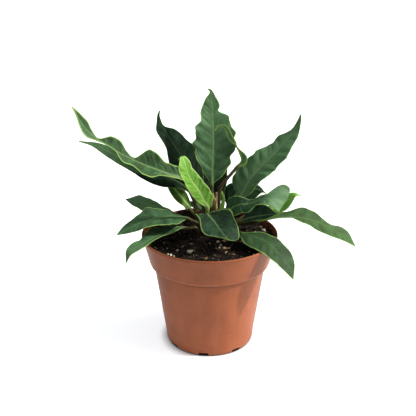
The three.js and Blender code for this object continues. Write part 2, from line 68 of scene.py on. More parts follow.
# Pot wall, as turned: the step under the collar, and the slots round the base's corner.
BASE_RADIUS = 39.5
CORNER_RADIUS = 3
BODY_TOP_RADIUS = 49.8
COLLAR_FOOT_RADIUS = 53
STEP = POT_HEIGHT - 27
FLOOR = 2.2
SLOTS = 8
SLOT_SIZE = (9, 12, 6.8)
SLOT_TURN = -8
# How far the pot is darkened: dirt and painted shade down from the rim, dirt up from the foot, and painted
# shade down the inside.
RIM_DIRT_AND_SHADE, FOOT_STAIN, INSIDE_SHADE = 9, 7, 12

# Soil: its level, its heaps and hollows as (x, y, rise, spread), and its plug's foot.
SOIL_LEVEL = 98.5
SOIL_FOOT = 4.5
CROWN = (4, 6)
HEAPS = [(*CROWN, 4, 16), (-22, 44, 5, 10), (-56, -2, -6, 10.5)]

# Stem and stalks
STEM_RADIUS = 2.8
STEM_TOP = 134
ROOT_DEPTH = 93
STALK_RADIUS = 1.4
TIP_HALF_WIDTH = 0.6


class Leaf:
    """One leaf's measures, which are a plain leaf's unless it gives its own.

    Its heading is the compass of the blade's run, in degrees. Its midrib runs through its stalk's
    points x, y, z, the first without its depth, and its blade's points, which add the roll about
    the midrib in degrees where there is any. Left and right are the blade's half-widths at even
    steps from base to tip. Without them they come from half_width, widest, which is where along the
    blade it is reached, base and taper, which set how full the two ends are, and ruffle, its lobes.
    Fold is the angle of its V. Wave, waves, phase and frill are its margin's waves and crimp, and
    offset shifts them on the right. Pale is its lightness at base and tip, partly its own tone and
    partly painted light for how light falls on it. Its dullness at base and tip is a dark matt
    surface, partly a dull old blade and partly painted shade. Veins is how strongly streaks and
    midrib show, edge how wide the pale margin is, sheen how waxy the blade is, and fresh how
    yellow its green is.
    """
    finish, slot = "grown leaf", "leaf"
    half_width, widest, base, taper, fold = 10, 0.42, 1, 1.2, 8
    ruffle, wave, waves, phase, offset, frill = 0.04, 1, 2, 0, 0.4, 0.015
    pale, dull, veins, edge, sheen, fresh = (0, 0.25), (0, 0), 1, 1, 0.2, 0

    def __init__(self, heading, stalk, blade, left=(), right=(), **own):
        self.heading, self.stalk, self.blade, self.left, self.right = heading, stalk, blade, left, right
        vars(self).update(own)


LEAVES = {
    "centre": Leaf(
        90, [(1.5, 10.5), (2, 11, 118), (2, 11.5, 141)],
        [(2, 12, 148), (3, 16, 165), (3.5, 22, 182), (3, 29, 199), (2, 35, 214.5), (1, 37, 220.5),
         (-1.5, 37, 223)],
        [4, 7.5, 10, 12, 14.5, 16.5, 17, 18, 17.5, 16.5, 16, 15.5, 12, 10.5, 11, 9.5, 7.5, 5, 1.5],
        [6.5, 10, 12.5, 15, 15.5, 16.5, 19, 19.5, 20, 19.5, 17.5, 16, 15, 13, 5.5, 6.5, 5.5, 3.5, 2],
        taper=1.6, fold=14, wave=2.6, waves=2.2, phase=0.84, frill=0.05, pale=(0.45, 0.85), edge=1.1,
    ),
    "left_back": Leaf(
        125, [(-1, 16), (-2.5, 18, 120), (-5, 21, 136)],
        [(-8.5, 24, 142.5), (-15, 28, 149), (-23, 33, 159), (-30.5, 37, 169.5), (-37.5, 40, 180.5),
         (-43, 42, 189.5), (-45.5, 43, 196), (-44.5, 43, 202)],
        [8, 13, 16, 17, 13.5, 10.5, 9, 8, 2.5], [8, 13, 16, 16.5, 14.5, 13, 10, 1.8, 1.5],
        finish="old leaf", widest=0.45, taper=1.5, fold=10, wave=1.6, phase=0.1, pale=(0, 0),
        dull=(0.75, 0.35), veins=0.35, edge=0.7, sheen=0.1,
    ),
    "left_long": Leaf(
        180, [(-3.5, 11), (-5, 9, 120), (-13, 4, 144)],
        [(-24, 2, 153, -40), (-33, -1, 157, -45), (-45, -4, 163, -45), (-56, -6, 168, -45),
         (-65, -8, 173, -35), (-75, -9, 179, -38), (-85, -9, 186, -35), (-95, -8, 192, -35),
         (-104, -8, 202, -50), (-113, -6, 218, -50)],
        [2.5, 2.5, 5, 12, 12.5, 8, 8, 1.5, 1.5, 2, 5.5, 4, 1.5],
        [8, 9, 9.5, 12.5, 13, 3, 5.3, 8.7, 8.2, 2, 3.5, 5, 3.3],
        widest=0.25, taper=0.9, fold=24, wave=1.5, waves=3.55, phase=0.06, offset=0, pale=(0.15, 0.35),
        edge=1.6, sheen=0, fresh=0.05,
    ),
    "left_under": Leaf(
        180, [(-8.5, 11), (-12, 13, 115), (-14, 14, 128)],
        [(-21, 14, 140, -20), (-35, 14, 149, -25), (-52, 13, 155, -25), (-69, 12, 163, -25),
         (-84, 11, 172, -25), (-98, 10, 180, -25), (-112, 9, 184, -25)],
        [6, 11, 14.5, 15.5, 15, 13, 10.5, 8.5, 6.5, 4.5, 2], [6, 9, 10, 10, 9.5, 9, 8, 7, 5.5, 4, 2],
        finish="old leaf", fold=10, wave=1.2, phase=0.2, pale=(0, 1), dull=(1, 0), veins=0.4, edge=0.6,
    ),
    "lime": Leaf(
        120, [(-3.5, 1.5), (-3, 0, 108), (-2, -3, 123.5)],
        [(-2, -5, 129.5), (-5.5, -9, 137.5), (-9.5, -15, 148.5), (-15, -20, 158.5), (-18.5, -24, 168.5),
         (-20.5, -26, 176.5), (-23, -24, 180.5), (-25.5, -19, 176.5)],
        [3, 5.5, 7, 7.5, 7, 6.5, 7, 7, 2], [8.5, 9, 8.5, 7.5, 7.5, 7, 5, 4.5, 2.5],
        finish="young leaf", slot="young_leaf", widest=0.45, base=0.45, taper=0.35, wave=0.6, veins=1.1,
        edge=1.5,
    ),
    "left_small": Leaf(
        160, [(-6, 16), (-11, 20, 108), (-17, 21, 116)],
        [(-20, 21, 121, -40), (-26, 22, 129, -45), (-33, 22, 138, -45), (-39, 22, 147, -40)],
        finish="young leaf", slot="young_leaf", widest=0.45, base=0.7, taper=1, half_width=6.5, wave=0.6,
        waves=1, pale=(0, 0.1), dull=(0.9, 0.65), edge=1.8,
    ),
    "left_low": Leaf(
        182, [(-11, 6), (-15, 11, 107), (-26, 14.5, 110.5)],
        [(-35.5, 16, 114, -10), (-42, 17, 116.5, -15), (-48, 18, 119.5, -15), (-55.5, 18, 122, -15),
         (-62.5, 18, 124, -15), (-69.5, 17, 126, -10), (-75, 16, 128)],
        [6, 10, 12, 12, 12, 10.5, 8], [6, 5, 7, 8.5, 7.5, 9, 6],
        widest=0.5, fold=10, phase=0.5, pale=(0.95, 1), sheen=1,
    ),
    "left_big": Leaf(
        200, [(-6, 5), (-9, 4, 108), (-18, 1, 115)],
        [(-24, -2, 118, -10), (-35, -7, 121, -15), (-46, -12, 121, -15), (-57, -17, 120, -15),
         (-68, -21, 116, -15), (-79, -24, 111, -10)],
        [8, 14, 13.5, 12, 11.5, 11.5, 10, 7, 4], [4.5, 9.5, 9, 11.5, 14, 11, 9, 7, 5],
        fold=10, pale=(0.35, 0.5), veins=0.6, edge=0.9, sheen=0.5,
    ),
    "left_front": Leaf(
        215, [(-8.5, 1), (-11, -1.5, 107), (-19, -5, 109)],
        [(-29, -7, 111, -5), (-34.5, -9, 111.5, -5), (-39.5, -13, 109.5, -5), (-45, -19, 108, -10),
         (-50.5, -25, 107, -10), (-56, -31, 106, -10), (-61, -36, 105, -10), (-66, -40, 102.5, -10),
         (-68.5, -43, 99, -5), (-70, -43, 93.5)],
        [9, 9, 5, 4, 4.5, 4.5, 4.5, 4, 2.5], [3, 4.5, 9, 10, 8.5, 6.5, 6.5, 6, 3],
        widest=0.45, fold=6, phase=0.25, pale=(0.45, 0.7), veins=0.5, edge=0.8, sheen=1.3,
    ),
    "front": Leaf(
        298, [(3, -2), (0, -5.5, 112), (-2.3, -7, 121.5)],
        [(-2, -9, 123.5), (0.5, -13, 122.5), (3.5, -19, 121.5), (6.5, -25.5, 119.5), (9.5, -32, 117.5),
         (12.5, -37, 116, -10), (14.5, -40.5, 115, -20), (16.5, -43, 114.5, -30)],
        [5, 10.5, 13.5, 16, 16.5, 16.5, 16.3, 16.3, 16.5, 16.7, 16.5, 16, 15, 13.5, 11],
        [15, 16.5, 16.5, 18, 19, 16, 1.2],
        widest=0.45, base=0.6, taper=0.8, fold=20, wave=5, waves=0.5, phase=0.25, offset=0, pale=(0, 0.1),
        dull=(0.7, 0.5), veins=0.6, edge=1.4,
    ),
    "right_front": Leaf(
        325, [(12, -4), (15, -7, 106), (21, -10, 107.5)],
        [(28, -14, 108, 5), (38, -21, 108, 10), (49, -28, 106, 12), (58, -35, 99, 12), (66, -40, 90, 10),
         (70.5, -43, 78)],
        [2.5, 5, 8, 8.5, 10.5, 10.5, 10, 8, 5], [7, 12.5, 16, 17, 16, 13.5, 10.5, 8.5, 5],
        waves=1.5, pale=(0, 0.05), dull=(0.2, 0.1), veins=0.15, edge=1.1, sheen=0, fresh=0.07,
    ),
    "right_far": Leaf(
        350, [(14, 6), (19, 5, 107), (36, 0, 112)],
        [(50, -3, 117, 10), (68, -6, 120, 15), (83, -9, 119.5, 15), (97, -12, 116, 15), (112, -16, 108, 10),
         (126, -20, 98)],
        [4, 7, 9, 12.5, 10.5, 6.5, 6, 12, 12], [2, 1.5, 1.5, 6.5, 8, 12, 13, 10, 5],
        widest=0.4, wave=1.2, phase=0.25, pale=(0.15, 0.25), veins=0.4, edge=0.8, fresh=0.13,
    ),
    "right_wavy": Leaf(
        340, [(12.5, 1.5), (12.5, 0, 108), (13, -2, 118)],
        [(15, -5, 124.5, 40), (21, -10, 131, 40), (26.5, -14, 135, 40), (32.5, -17, 136.5, 35),
         (37.5, -19, 139, 30), (42, -21, 142, 30), (47, -23, 144, 30), (51, -25, 143, 30),
         (54.5, -27, 139.5, 30), (57.5, -29, 134.5, 20)],
        [5.5, 10, 10.5, 10.5, 9.5, 8.5, 7, 6, 5, 4.5, 4.5, 4.5, 4.5, 4, 5.5, 19, 21.5, 16, 8],
        [6, 8.5, 9, 9, 10, 6.5, 7, 7, 3.5],
        widest=0.6, base=0.5, taper=0.8, fold=4, waves=1.7, phase=0.87, pale=(0, 1), veins=0.6, edge=0.8,
        sheen=0.6,
    ),
    "right_back": Leaf(
        50, [(11.5, 11), (16, 11, 112), (24, 12, 127)],
        [(27.5, 13, 132.5), (36, 16, 147), (46, 19, 158.5), (59, 22, 171), (69.5, 25, 182.5),
         (75.5, 27, 190.5), (78, 27, 197), (79, 26, 203)],
        [14, 17, 15.5, 14, 13, 10, 9, 4, 2.5], [8, 10, 14, 15, 14, 15, 10, 7, 3],
        widest=0.36, taper=1.1, fold=10, wave=1.4, waves=3, frill=0.025, pale=(0.75, 0.95), edge=0.7,
        sheen=0.8,
    ),
    "right_small": Leaf(
        0, [(17, 11), (24, 13, 108), (40, 13, 116)],
        [(54, 12, 120, 35), (63, 11, 124, 40), (69.5, 9.5, 130, 35), (75, 8, 135, 20), (81, 6.5, 135)],
        [3, 5, 7, 8.5, 8.5, 7.5, 6, 4.5, 2], [3, 4, 5.5, 6.5, 7, 7, 6, 4.5, 2],
        finish="young leaf", waves=1, pale=(1, 1), dull=(0.3, 0), edge=2, sheen=1,
    ),
    "right_dark": Leaf(
        25, [(14, 16), (15, 18, 112), (16, 20, 118)],
        [(18, 21, 124, 25), (26, 23, 131, 25), (36, 24, 134, 25), (45, 24, 134, 20), (52, 23, 130, 10)],
        [8, 12, 13, 11.5, 10, 9, 7, 5, 2], [5, 9, 13, 16, 17, 16, 13, 9, 3],
        finish="old leaf", waves=1.5, dull=(0.4, 0.2),
    ),
    "right_under": Leaf(
        355, [(17, 0), (20, -1.5, 107), (25, -2, 112)],
        [(31, -3, 116.5, 20), (41, -5, 120, 20), (51, -8, 123, 20), (60, -10, 125, 10)],
        [5, 11, 13.5, 14, 13, 11.5, 9.5, 6, 2], [3, 5, 6.5, 7, 7, 6.5, 5.5, 4, 2],
        finish="old leaf", waves=1, phase=0.5, dull=(0.8, 0.5), veins=0.5,
    ),
    "curled": Leaf(
        340, [(10, 5.5), (8.2, 4, 125), (9, 2, 143), (14, 0, 152), (21.5, -3, 162.5)],
        [(27, -4, 170, 60), (26.5, -4, 177, 60), (22, -3, 184, 60), (18.5, -1, 190.5, 60), (15, 1, 196, 60),
         (10.5, 3, 199, 60), (6.5, 5, 198.5, 60), (4, 7, 193.5, 60)],
        [1.2, 2, 1.6, 1.2, 4.3, 4, 2, 0.8, 0.9], [6.5, 8, 1.6, 2.5, 4.5, 4.5, 5.5, 1.8, 0.8],
        widest=0.5, fold=20, wave=0.4, waves=1.5, pale=(1, 1.2), edge=3.4, sheen=1,
    ),
    "back": Leaf(
        92, [(4, 17), (3.8, 21, 106), (3, 25, 112)],
        [(2.5, 29, 119), (2, 37, 133), (2, 47, 149), (1, 57, 162), (-1, 66, 170), (-4, 75, 173)],
        [9, 12, 14, 14, 13, 12, 10, 7, 2], [9, 12, 14, 14.5, 14, 12, 10, 7, 2],
        finish="old leaf", fold=10, wave=1.4, dull=(0.4, 0.2),
    ),
    "back_left": Leaf(
        110, [(-3, 21), (-4, 27, 107), (-6, 34, 108.5)],
        [(-8, 40, 109), (-12, 51, 110), (-16, 62, 108), (-20, 73, 101), (-23, 82, 92)],
        finish="old leaf", widest=0.45, half_width=12, phase=0.3, dull=(0.3, 0.1),
    ),
    "back_right": Leaf(
        60, [(9, 20), (14, 28, 107), (18, 33, 110)],
        [(22, 38, 113, 30), (30, 49, 116, 32), (38, 60, 114, 30), (45, 71, 107, 20), (50, 80, 98, 10)],
        [4, 9, 12, 13, 12.5, 11, 9, 6, 2], [4, 10, 15, 17, 17, 15, 12, 8, 2],
        finish="old leaf", dull=(0.5, 0.3),
    ),
    "shoot": Leaf(
        0, [(7.5, -3), (8.5, -3.5, 112)],
        [(9.5, -3, 121, 60), (11, -2.5, 128, 60), (12, -2.5, 135, 60), (10.5, -1.5, 142, 60)],
        finish="young leaf", slot="young_leaf", widest=0.4, base=0.6, taper=1, half_width=2.2, fold=20,
        ruffle=0, wave=0.2, waves=1,
    ),
}

# Sheaths round the stem, made as blades are: the compass of each, how fresh and green it is, its
# half-width, its root and its path.
SHEATHS = [
    (90, 0.1, 2, (4, 6), [(3.6, 6, 112), (3.3, 3, 122), (3, 1, 132), (3, 0, 140)]),
    (270, 0.7, 2, (4, 6), [(4, 6, 114), (5, 9, 122), (6, 10, 131), (6, 10, 137)]),
    (200, 0.9, 1.7, (3, 3), [(1.5, 1.5, 104), (-0.5, 0.5, 109, 20), (-1.5, -1, 114, 50)]),
    (320, 0.2, 1.6, (6, 3), [(6.5, 1, 104), (7, -1, 110), (6, -3, 115, -30)]),
    (20, 0.8, 1.6, (7, 8), [(9, 9, 105), (10, 9, 112), (10, 8, 119, 30)]),
    (150, 0.4, 1.5, (1, 8), [(0, 9, 105), (-1.5, 10, 111), (-2, 9, 118, -30)]),
]


# Settings

def setting(kind, **fixed):
    """A way to declare settings of one kind by name, description, value and lowest value."""
    return lambda name, description, default, low=0: kind(
        name=name, description=description, default=default, min=low, **fixed
    )


count = setting(IntProperty)
amount = setting(FloatProperty)
power = setting(FloatProperty, unit="POWER")
length = setting(FloatProperty, unit="LENGTH", precision=4)
colour = setting(FloatVectorProperty, max=1, size=3, subtype="COLOR")


class PotSettings(bpy.types.PropertyGroup):
    """The pot's settings"""
    wall: length("Wall", "Thickness of the pot's moulded wall", 1.3 * MM)
    lip: length("Lip", "Height of the rolled lip at the rim", 1.8 * MM)
    sides: count("Sides", "Steps round the pot", 144, 24)
    plastic: colour("Plastic", "The pot's terracotta colour", (0.335, 0.099, 0.041))
    faded: colour("Faded", "The plastic where it is scuffed", (0.38, 0.128, 0.062))


class SoilSettings(bpy.types.PropertyGroup):
    """The soil's settings"""
    rings: count("Rings", "Rings of the soil's surface", 84, 8)
    sides: count("Sides", "Steps round the soil", 252, 24)
    crumbs: count("Crumbs", "Loose crumbs of peat", 620)
    chips: count("Bark chips", "Chips of bark", 90)
    grit: count("Grit", "Grains of grit and perlite", 45)
    fibres: count("Fibres", "Roots and peat fibres", 190)
    peat: colour("Peat", "Damp peat", (0.0052, 0.0036, 0.0024))
    dry_peat: colour("Dry peat", "Peat where it has dried", (0.024, 0.015, 0.0085))


class LeafSettings(bpy.types.PropertyGroup):
    """The leaves' settings"""
    thickness: length("Thickness", "Thickness of a blade between its veins", 0.56 * MM)
    relief: length("Relief", "How far a blade swells between its lateral veins", 0.06 * MM)
    buckle: length("Buckle", "How far a blade bulges unevenly along its veins", 0.32 * MM)
    columns: count("Columns", "Faces across a blade", 30, 4)
    row: length("Row", "Length of a face along a blade", 0.9 * MM, 0.2 * MM)
    dark: colour("Dark", "A grown blade's darkest green", (0.008, 0.026, 0.011))
    green: colour("Green", "A grown blade's lighter green", (0.023, 0.081, 0.031))
    pale: colour("Pale", "A grown blade where it is thin or young", (0.098, 0.208, 0.084))
    rib: colour("Rib", "A grown blade's midrib", (0.17, 0.28, 0.10))
    margin: colour("Margin", "A grown blade's thin margin", (0.29, 0.47, 0.11))
    lime: colour("Lime", "A young blade", (0.145, 0.375, 0.033))
    young_pale: colour("Young pale", "A young blade's lighter parts", (0.21, 0.46, 0.065))
    young_margin: colour("Young margin", "A young blade's margin and midrib", (0.42, 0.62, 0.19))


class StageSettings(bpy.types.PropertyGroup):
    """The floor's, lights' and camera's settings"""
    floor: colour("Floor", "The plain floor", (0.80, 0.80, 0.80))
    floor_size: length("Floor size", "Half the floor's width", 8.0)
    glow: amount("Glow", "Extra brightness of the floor to the eye", 0.68)
    bounce: amount("Bounce", "Light that the floor near the pot throws back", 0.38)
    sky: amount("Sky", "Strength of the even light", 0.10)
    key: amount("Key", "Strength of the distant key light", 3.6)
    top: power("Top", "Power of the overhead light", 14)
    side: power("Side", "Power of the broad light from the right", 52)
    fill: power("Fill", "Power of the light from the left", 5)
    focal_pixels: amount("Focal length", "Focal length in pixels of a 416 pixel frame", 762.2)


# Shader maths

def math_node(operation, swap=False):
    """A way to join a value and another, or a number, by one kind of Math node."""
    def join(self, other=0):
        first, second = (other, self) if swap else (self, other)
        return self.finish.node("ShaderNodeMath", {"operation": operation}, {0: first, 1: second})
    return join


class Value:
    """An output socket that ordinary arithmetic works on, by adding Math nodes."""

    def __init__(self, finish, socket):
        self.finish, self.socket = finish, socket

    __add__ = __radd__ = math_node("ADD")
    __mul__ = __rmul__ = math_node("MULTIPLY")
    __sub__ = math_node("SUBTRACT")
    __rsub__ = math_node("SUBTRACT", swap=True)
    __mod__ = math_node("FLOORED_MODULO")
    __abs__ = math_node("ABSOLUTE")


class Finish:
    """A procedural material while its nodes are being added."""

    def __init__(self, name, owner=None):
        self.material = owner or bpy.data.materials.new(name)
        self.material.use_nodes = True
        self.tree = self.material.node_tree
        self.tree.nodes.clear()

    def node(self, kind, settings, inputs, output=0):
        """Adds a node, sets it up, then gives its inputs their values or links."""
        made = self.tree.nodes.new(kind)
        for key, value in settings.items():
            setattr(made, key, value)
        for key, value in inputs.items():
            if isinstance(value, Value):
                self.tree.links.new(value.socket, made.inputs[key])
            else:
                made.inputs[key].default_value = value
        return Value(self, made.outputs[output]) if made.outputs else None

    def place(self, scale=(1, 1, 1), turn=0.0):
        """Object coordinates, scaled and turned about Z."""
        here = self.node("ShaderNodeTexCoord", {}, {}, "Object")
        return self.node("ShaderNodeMapping", {}, {"Vector": here, "Scale": scale, "Rotation": (0, 0, turn)})

    def attribute(self, name):
        """A measure that the mesh carries at each of its points."""
        return self.node("ShaderNodeAttribute", {"attribute_name": name}, {}, "Fac")

    def noise(self, scale, detail, roughness, where=None, distortion=0.0):
        """Noise from 0 to 1, scale in features a metre."""
        inputs = {"Vector": where or self.place(), "Scale": scale, "Detail": detail,
                  "Roughness": roughness, "Distortion": distortion}
        return self.node("ShaderNodeTexNoise", {}, inputs)

    def cells(self, scale, feature="F1"):
        """Distance in a cell pattern, scale in cells a metre."""
        inputs = {"Vector": self.place(), "Scale": scale}
        return self.node("ShaderNodeTexVoronoi", {"feature": feature}, inputs)

    def step(self, value, low, high, start=0.0, end=1.0):
        """A smooth step: start where value is low, end where it is high."""
        inputs = {"Value": value, "From Min": low, "From Max": high, "To Min": start, "To Max": end}
        return self.node("ShaderNodeMapRange", {"interpolation_type": "SMOOTHSTEP"}, inputs)

    def mix(self, amount, first, second):
        """A colour between two, by amount."""
        first, second = (c if isinstance(c, Value) else (*c, 1) for c in (first, second))
        return self.node("ShaderNodeMix", {"data_type": "RGBA"}, {0: amount, 6: first, 7: second}, 2)

    def bump(self, height, distance):
        """A normal from a height that runs about 0 to 1, distance in metres."""
        return self.node("ShaderNodeBump", {}, {"Height": height, "Distance": distance})

    def shader(self, **inputs):
        """A Principled shader with these sockets, underscores for spaces."""
        names = {key.replace("_", " "): value for key, value in inputs.items()}
        return self.node("ShaderNodeBsdfPrincipled", {}, names)

    def by_eye(self, kind, plain, seen):
        """One shader for the light that falls on things, and another for what the camera sees."""
        to_camera = self.node("ShaderNodeLightPath", {}, {}, "Is Camera Ray")
        mixed = self.node("ShaderNodeMixShader", {}, {0: to_camera, 1: plain, 2: seen})
        return self.node(kind, {}, {"Surface": mixed})

    def surface(self, **inputs):
        """Ends the material in a Principled shader with these sockets."""
        self.node("ShaderNodeOutputMaterial", {}, {"Surface": self.shader(**inputs)})
        return self.material


def shade(tone, factor):
    """A colour with its brightness scaled."""
    return tuple(factor * c for c in tone)


# Finishes

BLACK, WHITE = (0, 0, 0), (1, 1, 1)
# What a leaf's mesh says at each of its points: how far it is from the midrib and from the rim,
# how far along the blade and between its lateral veins, whether it is on the upper face, and the
# blade's lightness (partly painted light), dullness (partly painted shade), streaks, sheen and yellow.
LEAF_MEASURES = ("rib", "rim", "along", "vein", "upper", "pale", "dull", "veins", "sheen", "fresh")
# Distances from the pot's axis over which the floor turns from painted contact shadow to clear,
# from the painted shadow under the pot's foot to floor, and from light thrown back to none.
PAINTED_CONTACT_SHADOW = (36, 49)
PAINTED_SHADOW_UNDER_POT = (37.5, 39.5)
NEAR_FLOOR = (420, 160)


def pot_finish(settings):
    """Injection-moulded terracotta plastic: satin, faintly mottled, scuffed and dusty. Dark specks are dirt
    near the foot, dirt and painted shade near the rim, and painted shade down the inside of the rim; painted
    shade lines run under the collar.
    """
    f = Finish("terracotta plastic")
    cloud = f.noise(38, 4, 0.55)
    flow = f.noise(90, 3, 0.6, f.place((1, 1, 0.12)))
    dust = f.step(f.noise(260, 5, 0.7), 0.54, 0.74)
    scuff = f.step(f.noise(420, 4, 0.7, f.place((0.16, 0.16, 1.3))), 0.63, 0.72)
    base = f.mix(f.step(cloud, 0.35, 0.7), settings.plastic, shade(settings.plastic, 0.82))
    base = f.mix(f.step(flow, 0.4, 0.75) * 0.35, base, settings.faded)
    base = f.mix(dust * 0.16, base, settings.faded)
    base = f.mix(scuff * 0.25, base, (0.48, 0.21, 0.12))
    stain = f.attribute("stain")
    specks = f.step(f.noise(900, 3, 0.6), 0.52, 0.66)
    # Dark specks: dirt near the foot, dirt and painted shade near the rim, and painted shade down the inside
    # of the rim.
    base = f.mix(stain * specks, base, (0.05, 0.03, 0.02))
    # Painted shade: a dark line under the collar's overhang and a fainter one along the ridge above it.
    base = f.mix(f.attribute("groove"), base, (0.085, 0.026, 0.012))
    peel = f.noise(1500, 2, 0.5)
    return f.surface(
        Base_Color=base, Roughness=0.36 + dust * 0.16 + peel * 0.08 + stain * 0.2,
        Normal=f.bump(peel * 0.5 + cloud * 0.6 - scuff * 0.5, 0.00009), Specular_IOR_Level=0.15,
        Subsurface_Weight=0.06, Subsurface_Radius=(0.0022, 0.0009, 0.0005), Subsurface_Scale=1.0,
    )


def soil_finish(settings, name, specks):
    """Crumbly peat: two browns, tan specks and a rough broken surface."""
    f = Finish(name)
    lumps = f.noise(420, 5, 0.65)
    grains = f.noise(1900, 4, 0.7)
    base = f.mix(f.step(lumps, 0.42, 0.72), settings.peat, settings.dry_peat)
    base = f.mix(f.step(grains, 0.62, 0.7) * 0.4, base, (0.05, 0.031, 0.017))
    base = f.mix(f.step(f.noise(1300, 2, 0.5), 0.685, 0.72) * specks, base, (0.26, 0.17, 0.08))
    return f.surface(
        Base_Color=base, Roughness=0.78 + grains * 0.2, Specular_IOR_Level=0.15,
        Normal=f.bump(grains + f.cells(1100) * 0.7 + lumps, 0.0006),
    )


def bits_finish(name, dark, light, rough, grain_scale):
    """Bark, grit or roots: each piece takes its own tone, with streaks along its grain."""
    f = Finish(name)
    grain = f.noise(grain_scale, 4, 0.65, f.place((1, 0.35, 0.6), 0.6), 0.6)
    base = f.mix(f.attribute("tone"), dark, light)
    base = f.mix(f.step(grain, 0.4, 0.68) * 0.6, base, shade(light, 0.35))
    return f.surface(
        Base_Color=base, Roughness=rough + grain * 0.15, Normal=f.bump(grain, 0.0003),
        Specular_IOR_Level=0.4,
    )


def stem_finish():
    """Papery sheath and stem: tan to pinkish brown, or green where fresh, with fibres along it."""
    f = Finish("papery sheath")
    fibre = f.noise(1500, 4, 0.6, f.place((1, 1, 0.07)))
    patch = f.noise(330, 3, 0.5)
    base = f.mix(f.step(patch, 0.38, 0.66), (0.21, 0.115, 0.062), (0.52, 0.33, 0.18))
    base = f.mix(f.step(fibre, 0.5, 0.68) * 0.7, base, (0.62, 0.46, 0.28))
    base = f.mix(f.attribute("fresh") * f.step(patch, 0.3, 0.55), base, (0.30, 0.44, 0.10))
    return f.surface(
        Base_Color=base, Roughness=0.62 + fibre * 0.2, Normal=f.bump(fibre + patch * 0.4, 0.0004),
        Subsurface_Weight=0.1, Subsurface_Radius=(0.001, 0.0006, 0.0004), Subsurface_Scale=1.0,
    )


def leaf_finish(name, gloss, stalk_tones, dark, green, pale, rib_tone, margin_tone):
    """A blade and its stalk: streaked green, paler midrib, margin and underside, waxy sheen."""
    f = Finish(name)
    rib, rim, along, vein, upper, tone_and_painted_light, dull, veins, sheen, fresh = map(f.attribute, LEAF_MEASURES)
    mottle = f.noise(110, 4, 0.6)
    cell = f.noise(900, 3, 0.55)
    across = f.node("ShaderNodeCombineXYZ", {}, {0: vein * 1.2, 1: rib * 0.1, 2: along * 3})
    streak = (f.noise(1.0, 3, 0.6, across, 0.5) - 0.5) * veins + 0.5
    line = f.step(0.5 - abs(vein % 1 - 0.5), 0.11, 0.02) * f.step(streak, 0.38, 0.6)
    net = f.step(f.cells(620, "DISTANCE_TO_EDGE"), 0.10, 0.02)
    base = f.mix(f.step(mottle * 0.45 + streak * 0.55, 0.42, 0.6), dark, green)
    base = f.mix((line * 0.16 + net * 0.05) * veins, base, rib_tone)
    base = f.mix(f.step(streak, 0.52, 0.72) * 0.36, base, pale)
    # Per-leaf lightness to a paler, greyer green: partly the blade's own tone and partly painted light and
    # painted sheen for how light falls on it.
    base = f.mix(f.step(tone_and_painted_light + mottle * 0.3 - 0.15, 0.0, 1.0), base, pale)
    base = f.mix(fresh, base, margin_tone)
    # Painted shade and dullness: the blade darkens towards near black green, partly as a dull old blade and
    # partly as painted shade.
    base = f.mix(dull * 0.85, base, shade(dark, 0.25))
    rib_width = 1.25 - along * 0.95
    beside = abs(rib)
    base = f.mix(f.step(beside - rib_width * 2.4, 0.0, -2.4, 0.0, 0.3) * veins, base, rib_tone)
    base = f.mix(f.step(beside - rib_width * 0.75, 0.2, -0.3, 0.0, 0.8) * veins, base, rib_tone)
    edge = f.step(rim, 0.85, 0.25, 0.0, 0.95) * (1 - dull * 0.55)
    base = f.mix(edge * f.step(mottle, 0.25, 0.55, 0.55, 1.0), base, margin_tone)
    base = f.mix(upper, f.mix(0.45, base, pale), base)
    low = f.step(along + cell * 0.1, -0.1, -0.55)
    fibre = f.step(f.noise(1400, 3, 0.6, f.place((1, 1, 0.12))), 0.45, 0.7)
    bark = f.mix(fibre * 0.4, f.mix(low, *stalk_tones), shade(stalk_tones[1], 0.5))
    base = f.mix(f.step(along, 0.045, -0.05), base, bark)
    height = streak * 1.1 + cell * 0.3 + mottle * 0.5 - line * 0.2 - net * 0.15
    rough = 0.36 + cell * 0.10 + mottle * 0.10 + (1 - upper) * 0.1 + dull * 0.45
    return f.surface(
        Base_Color=base, Roughness=rough, Normal=f.bump(height, 0.00045), Specular_IOR_Level=gloss,
        Coat_Weight=sheen * 0.28, Coat_Roughness=0.5, Subsurface_Weight=0.22,
        Subsurface_Radius=(0.0007, 0.0014, 0.0003), Subsurface_Scale=1.0,
    )


def floor_finish(settings):
    """Matt white card, brighter to the eye than the light it throws back, with painted shadow under the pot
    and a painted contact shadow round its foot.
    """
    f = Finish("plain floor")
    reach = f.node("ShaderNodeVectorMath", {"operation": "LENGTH"}, {0: f.place([1 / MM] * 3)}, "Value")
    # Painted contact shadow: the floor's glow fades out towards the pot's foot.
    clear = f.step(reach, *PAINTED_CONTACT_SHADOW)
    near = f.step(reach, *NEAR_FLOOR)
    card = dict(Roughness=0.9, Specular_IOR_Level=0.1)
    throws = f.shader(
        Base_Color=f.mix(near, shade(settings.floor, 0.2), settings.floor),
        Emission_Color=f.mix(near * clear, BLACK, WHITE), Emission_Strength=settings.bounce, **card,
    )
    # Painted shadow: to the eye, the floor under the pot's foot is near black.
    looks = f.shader(
        Base_Color=f.mix(f.step(reach, *PAINTED_SHADOW_UNDER_POT), (0.01, 0.01, 0.01), settings.floor),
        Emission_Color=f.mix(clear, BLACK, (0.94, 0.97, 1.0)), Emission_Strength=settings.glow, **card,
    )
    f.by_eye("ShaderNodeOutputMaterial", throws, looks)
    return f.material


# Pieces

def to_mesh(name, bm):
    """A mesh from a finished shape."""
    mesh = bpy.data.meshes.new(name)
    bm.to_mesh(mesh)
    bm.free()
    return mesh


def new_object(name, data):
    """A new object in the scene."""
    made = bpy.data.objects.new(name, data)
    bpy.context.scene.collection.objects.link(made)
    return made


def final_mesh(blank):
    """The mesh that an object ends up with, which takes the object's place."""
    graph = bpy.context.evaluated_depsgraph_get()
    mesh = bpy.data.meshes.new_from_object(blank.evaluated_get(graph))
    bpy.data.objects.remove(blank)
    return mesh


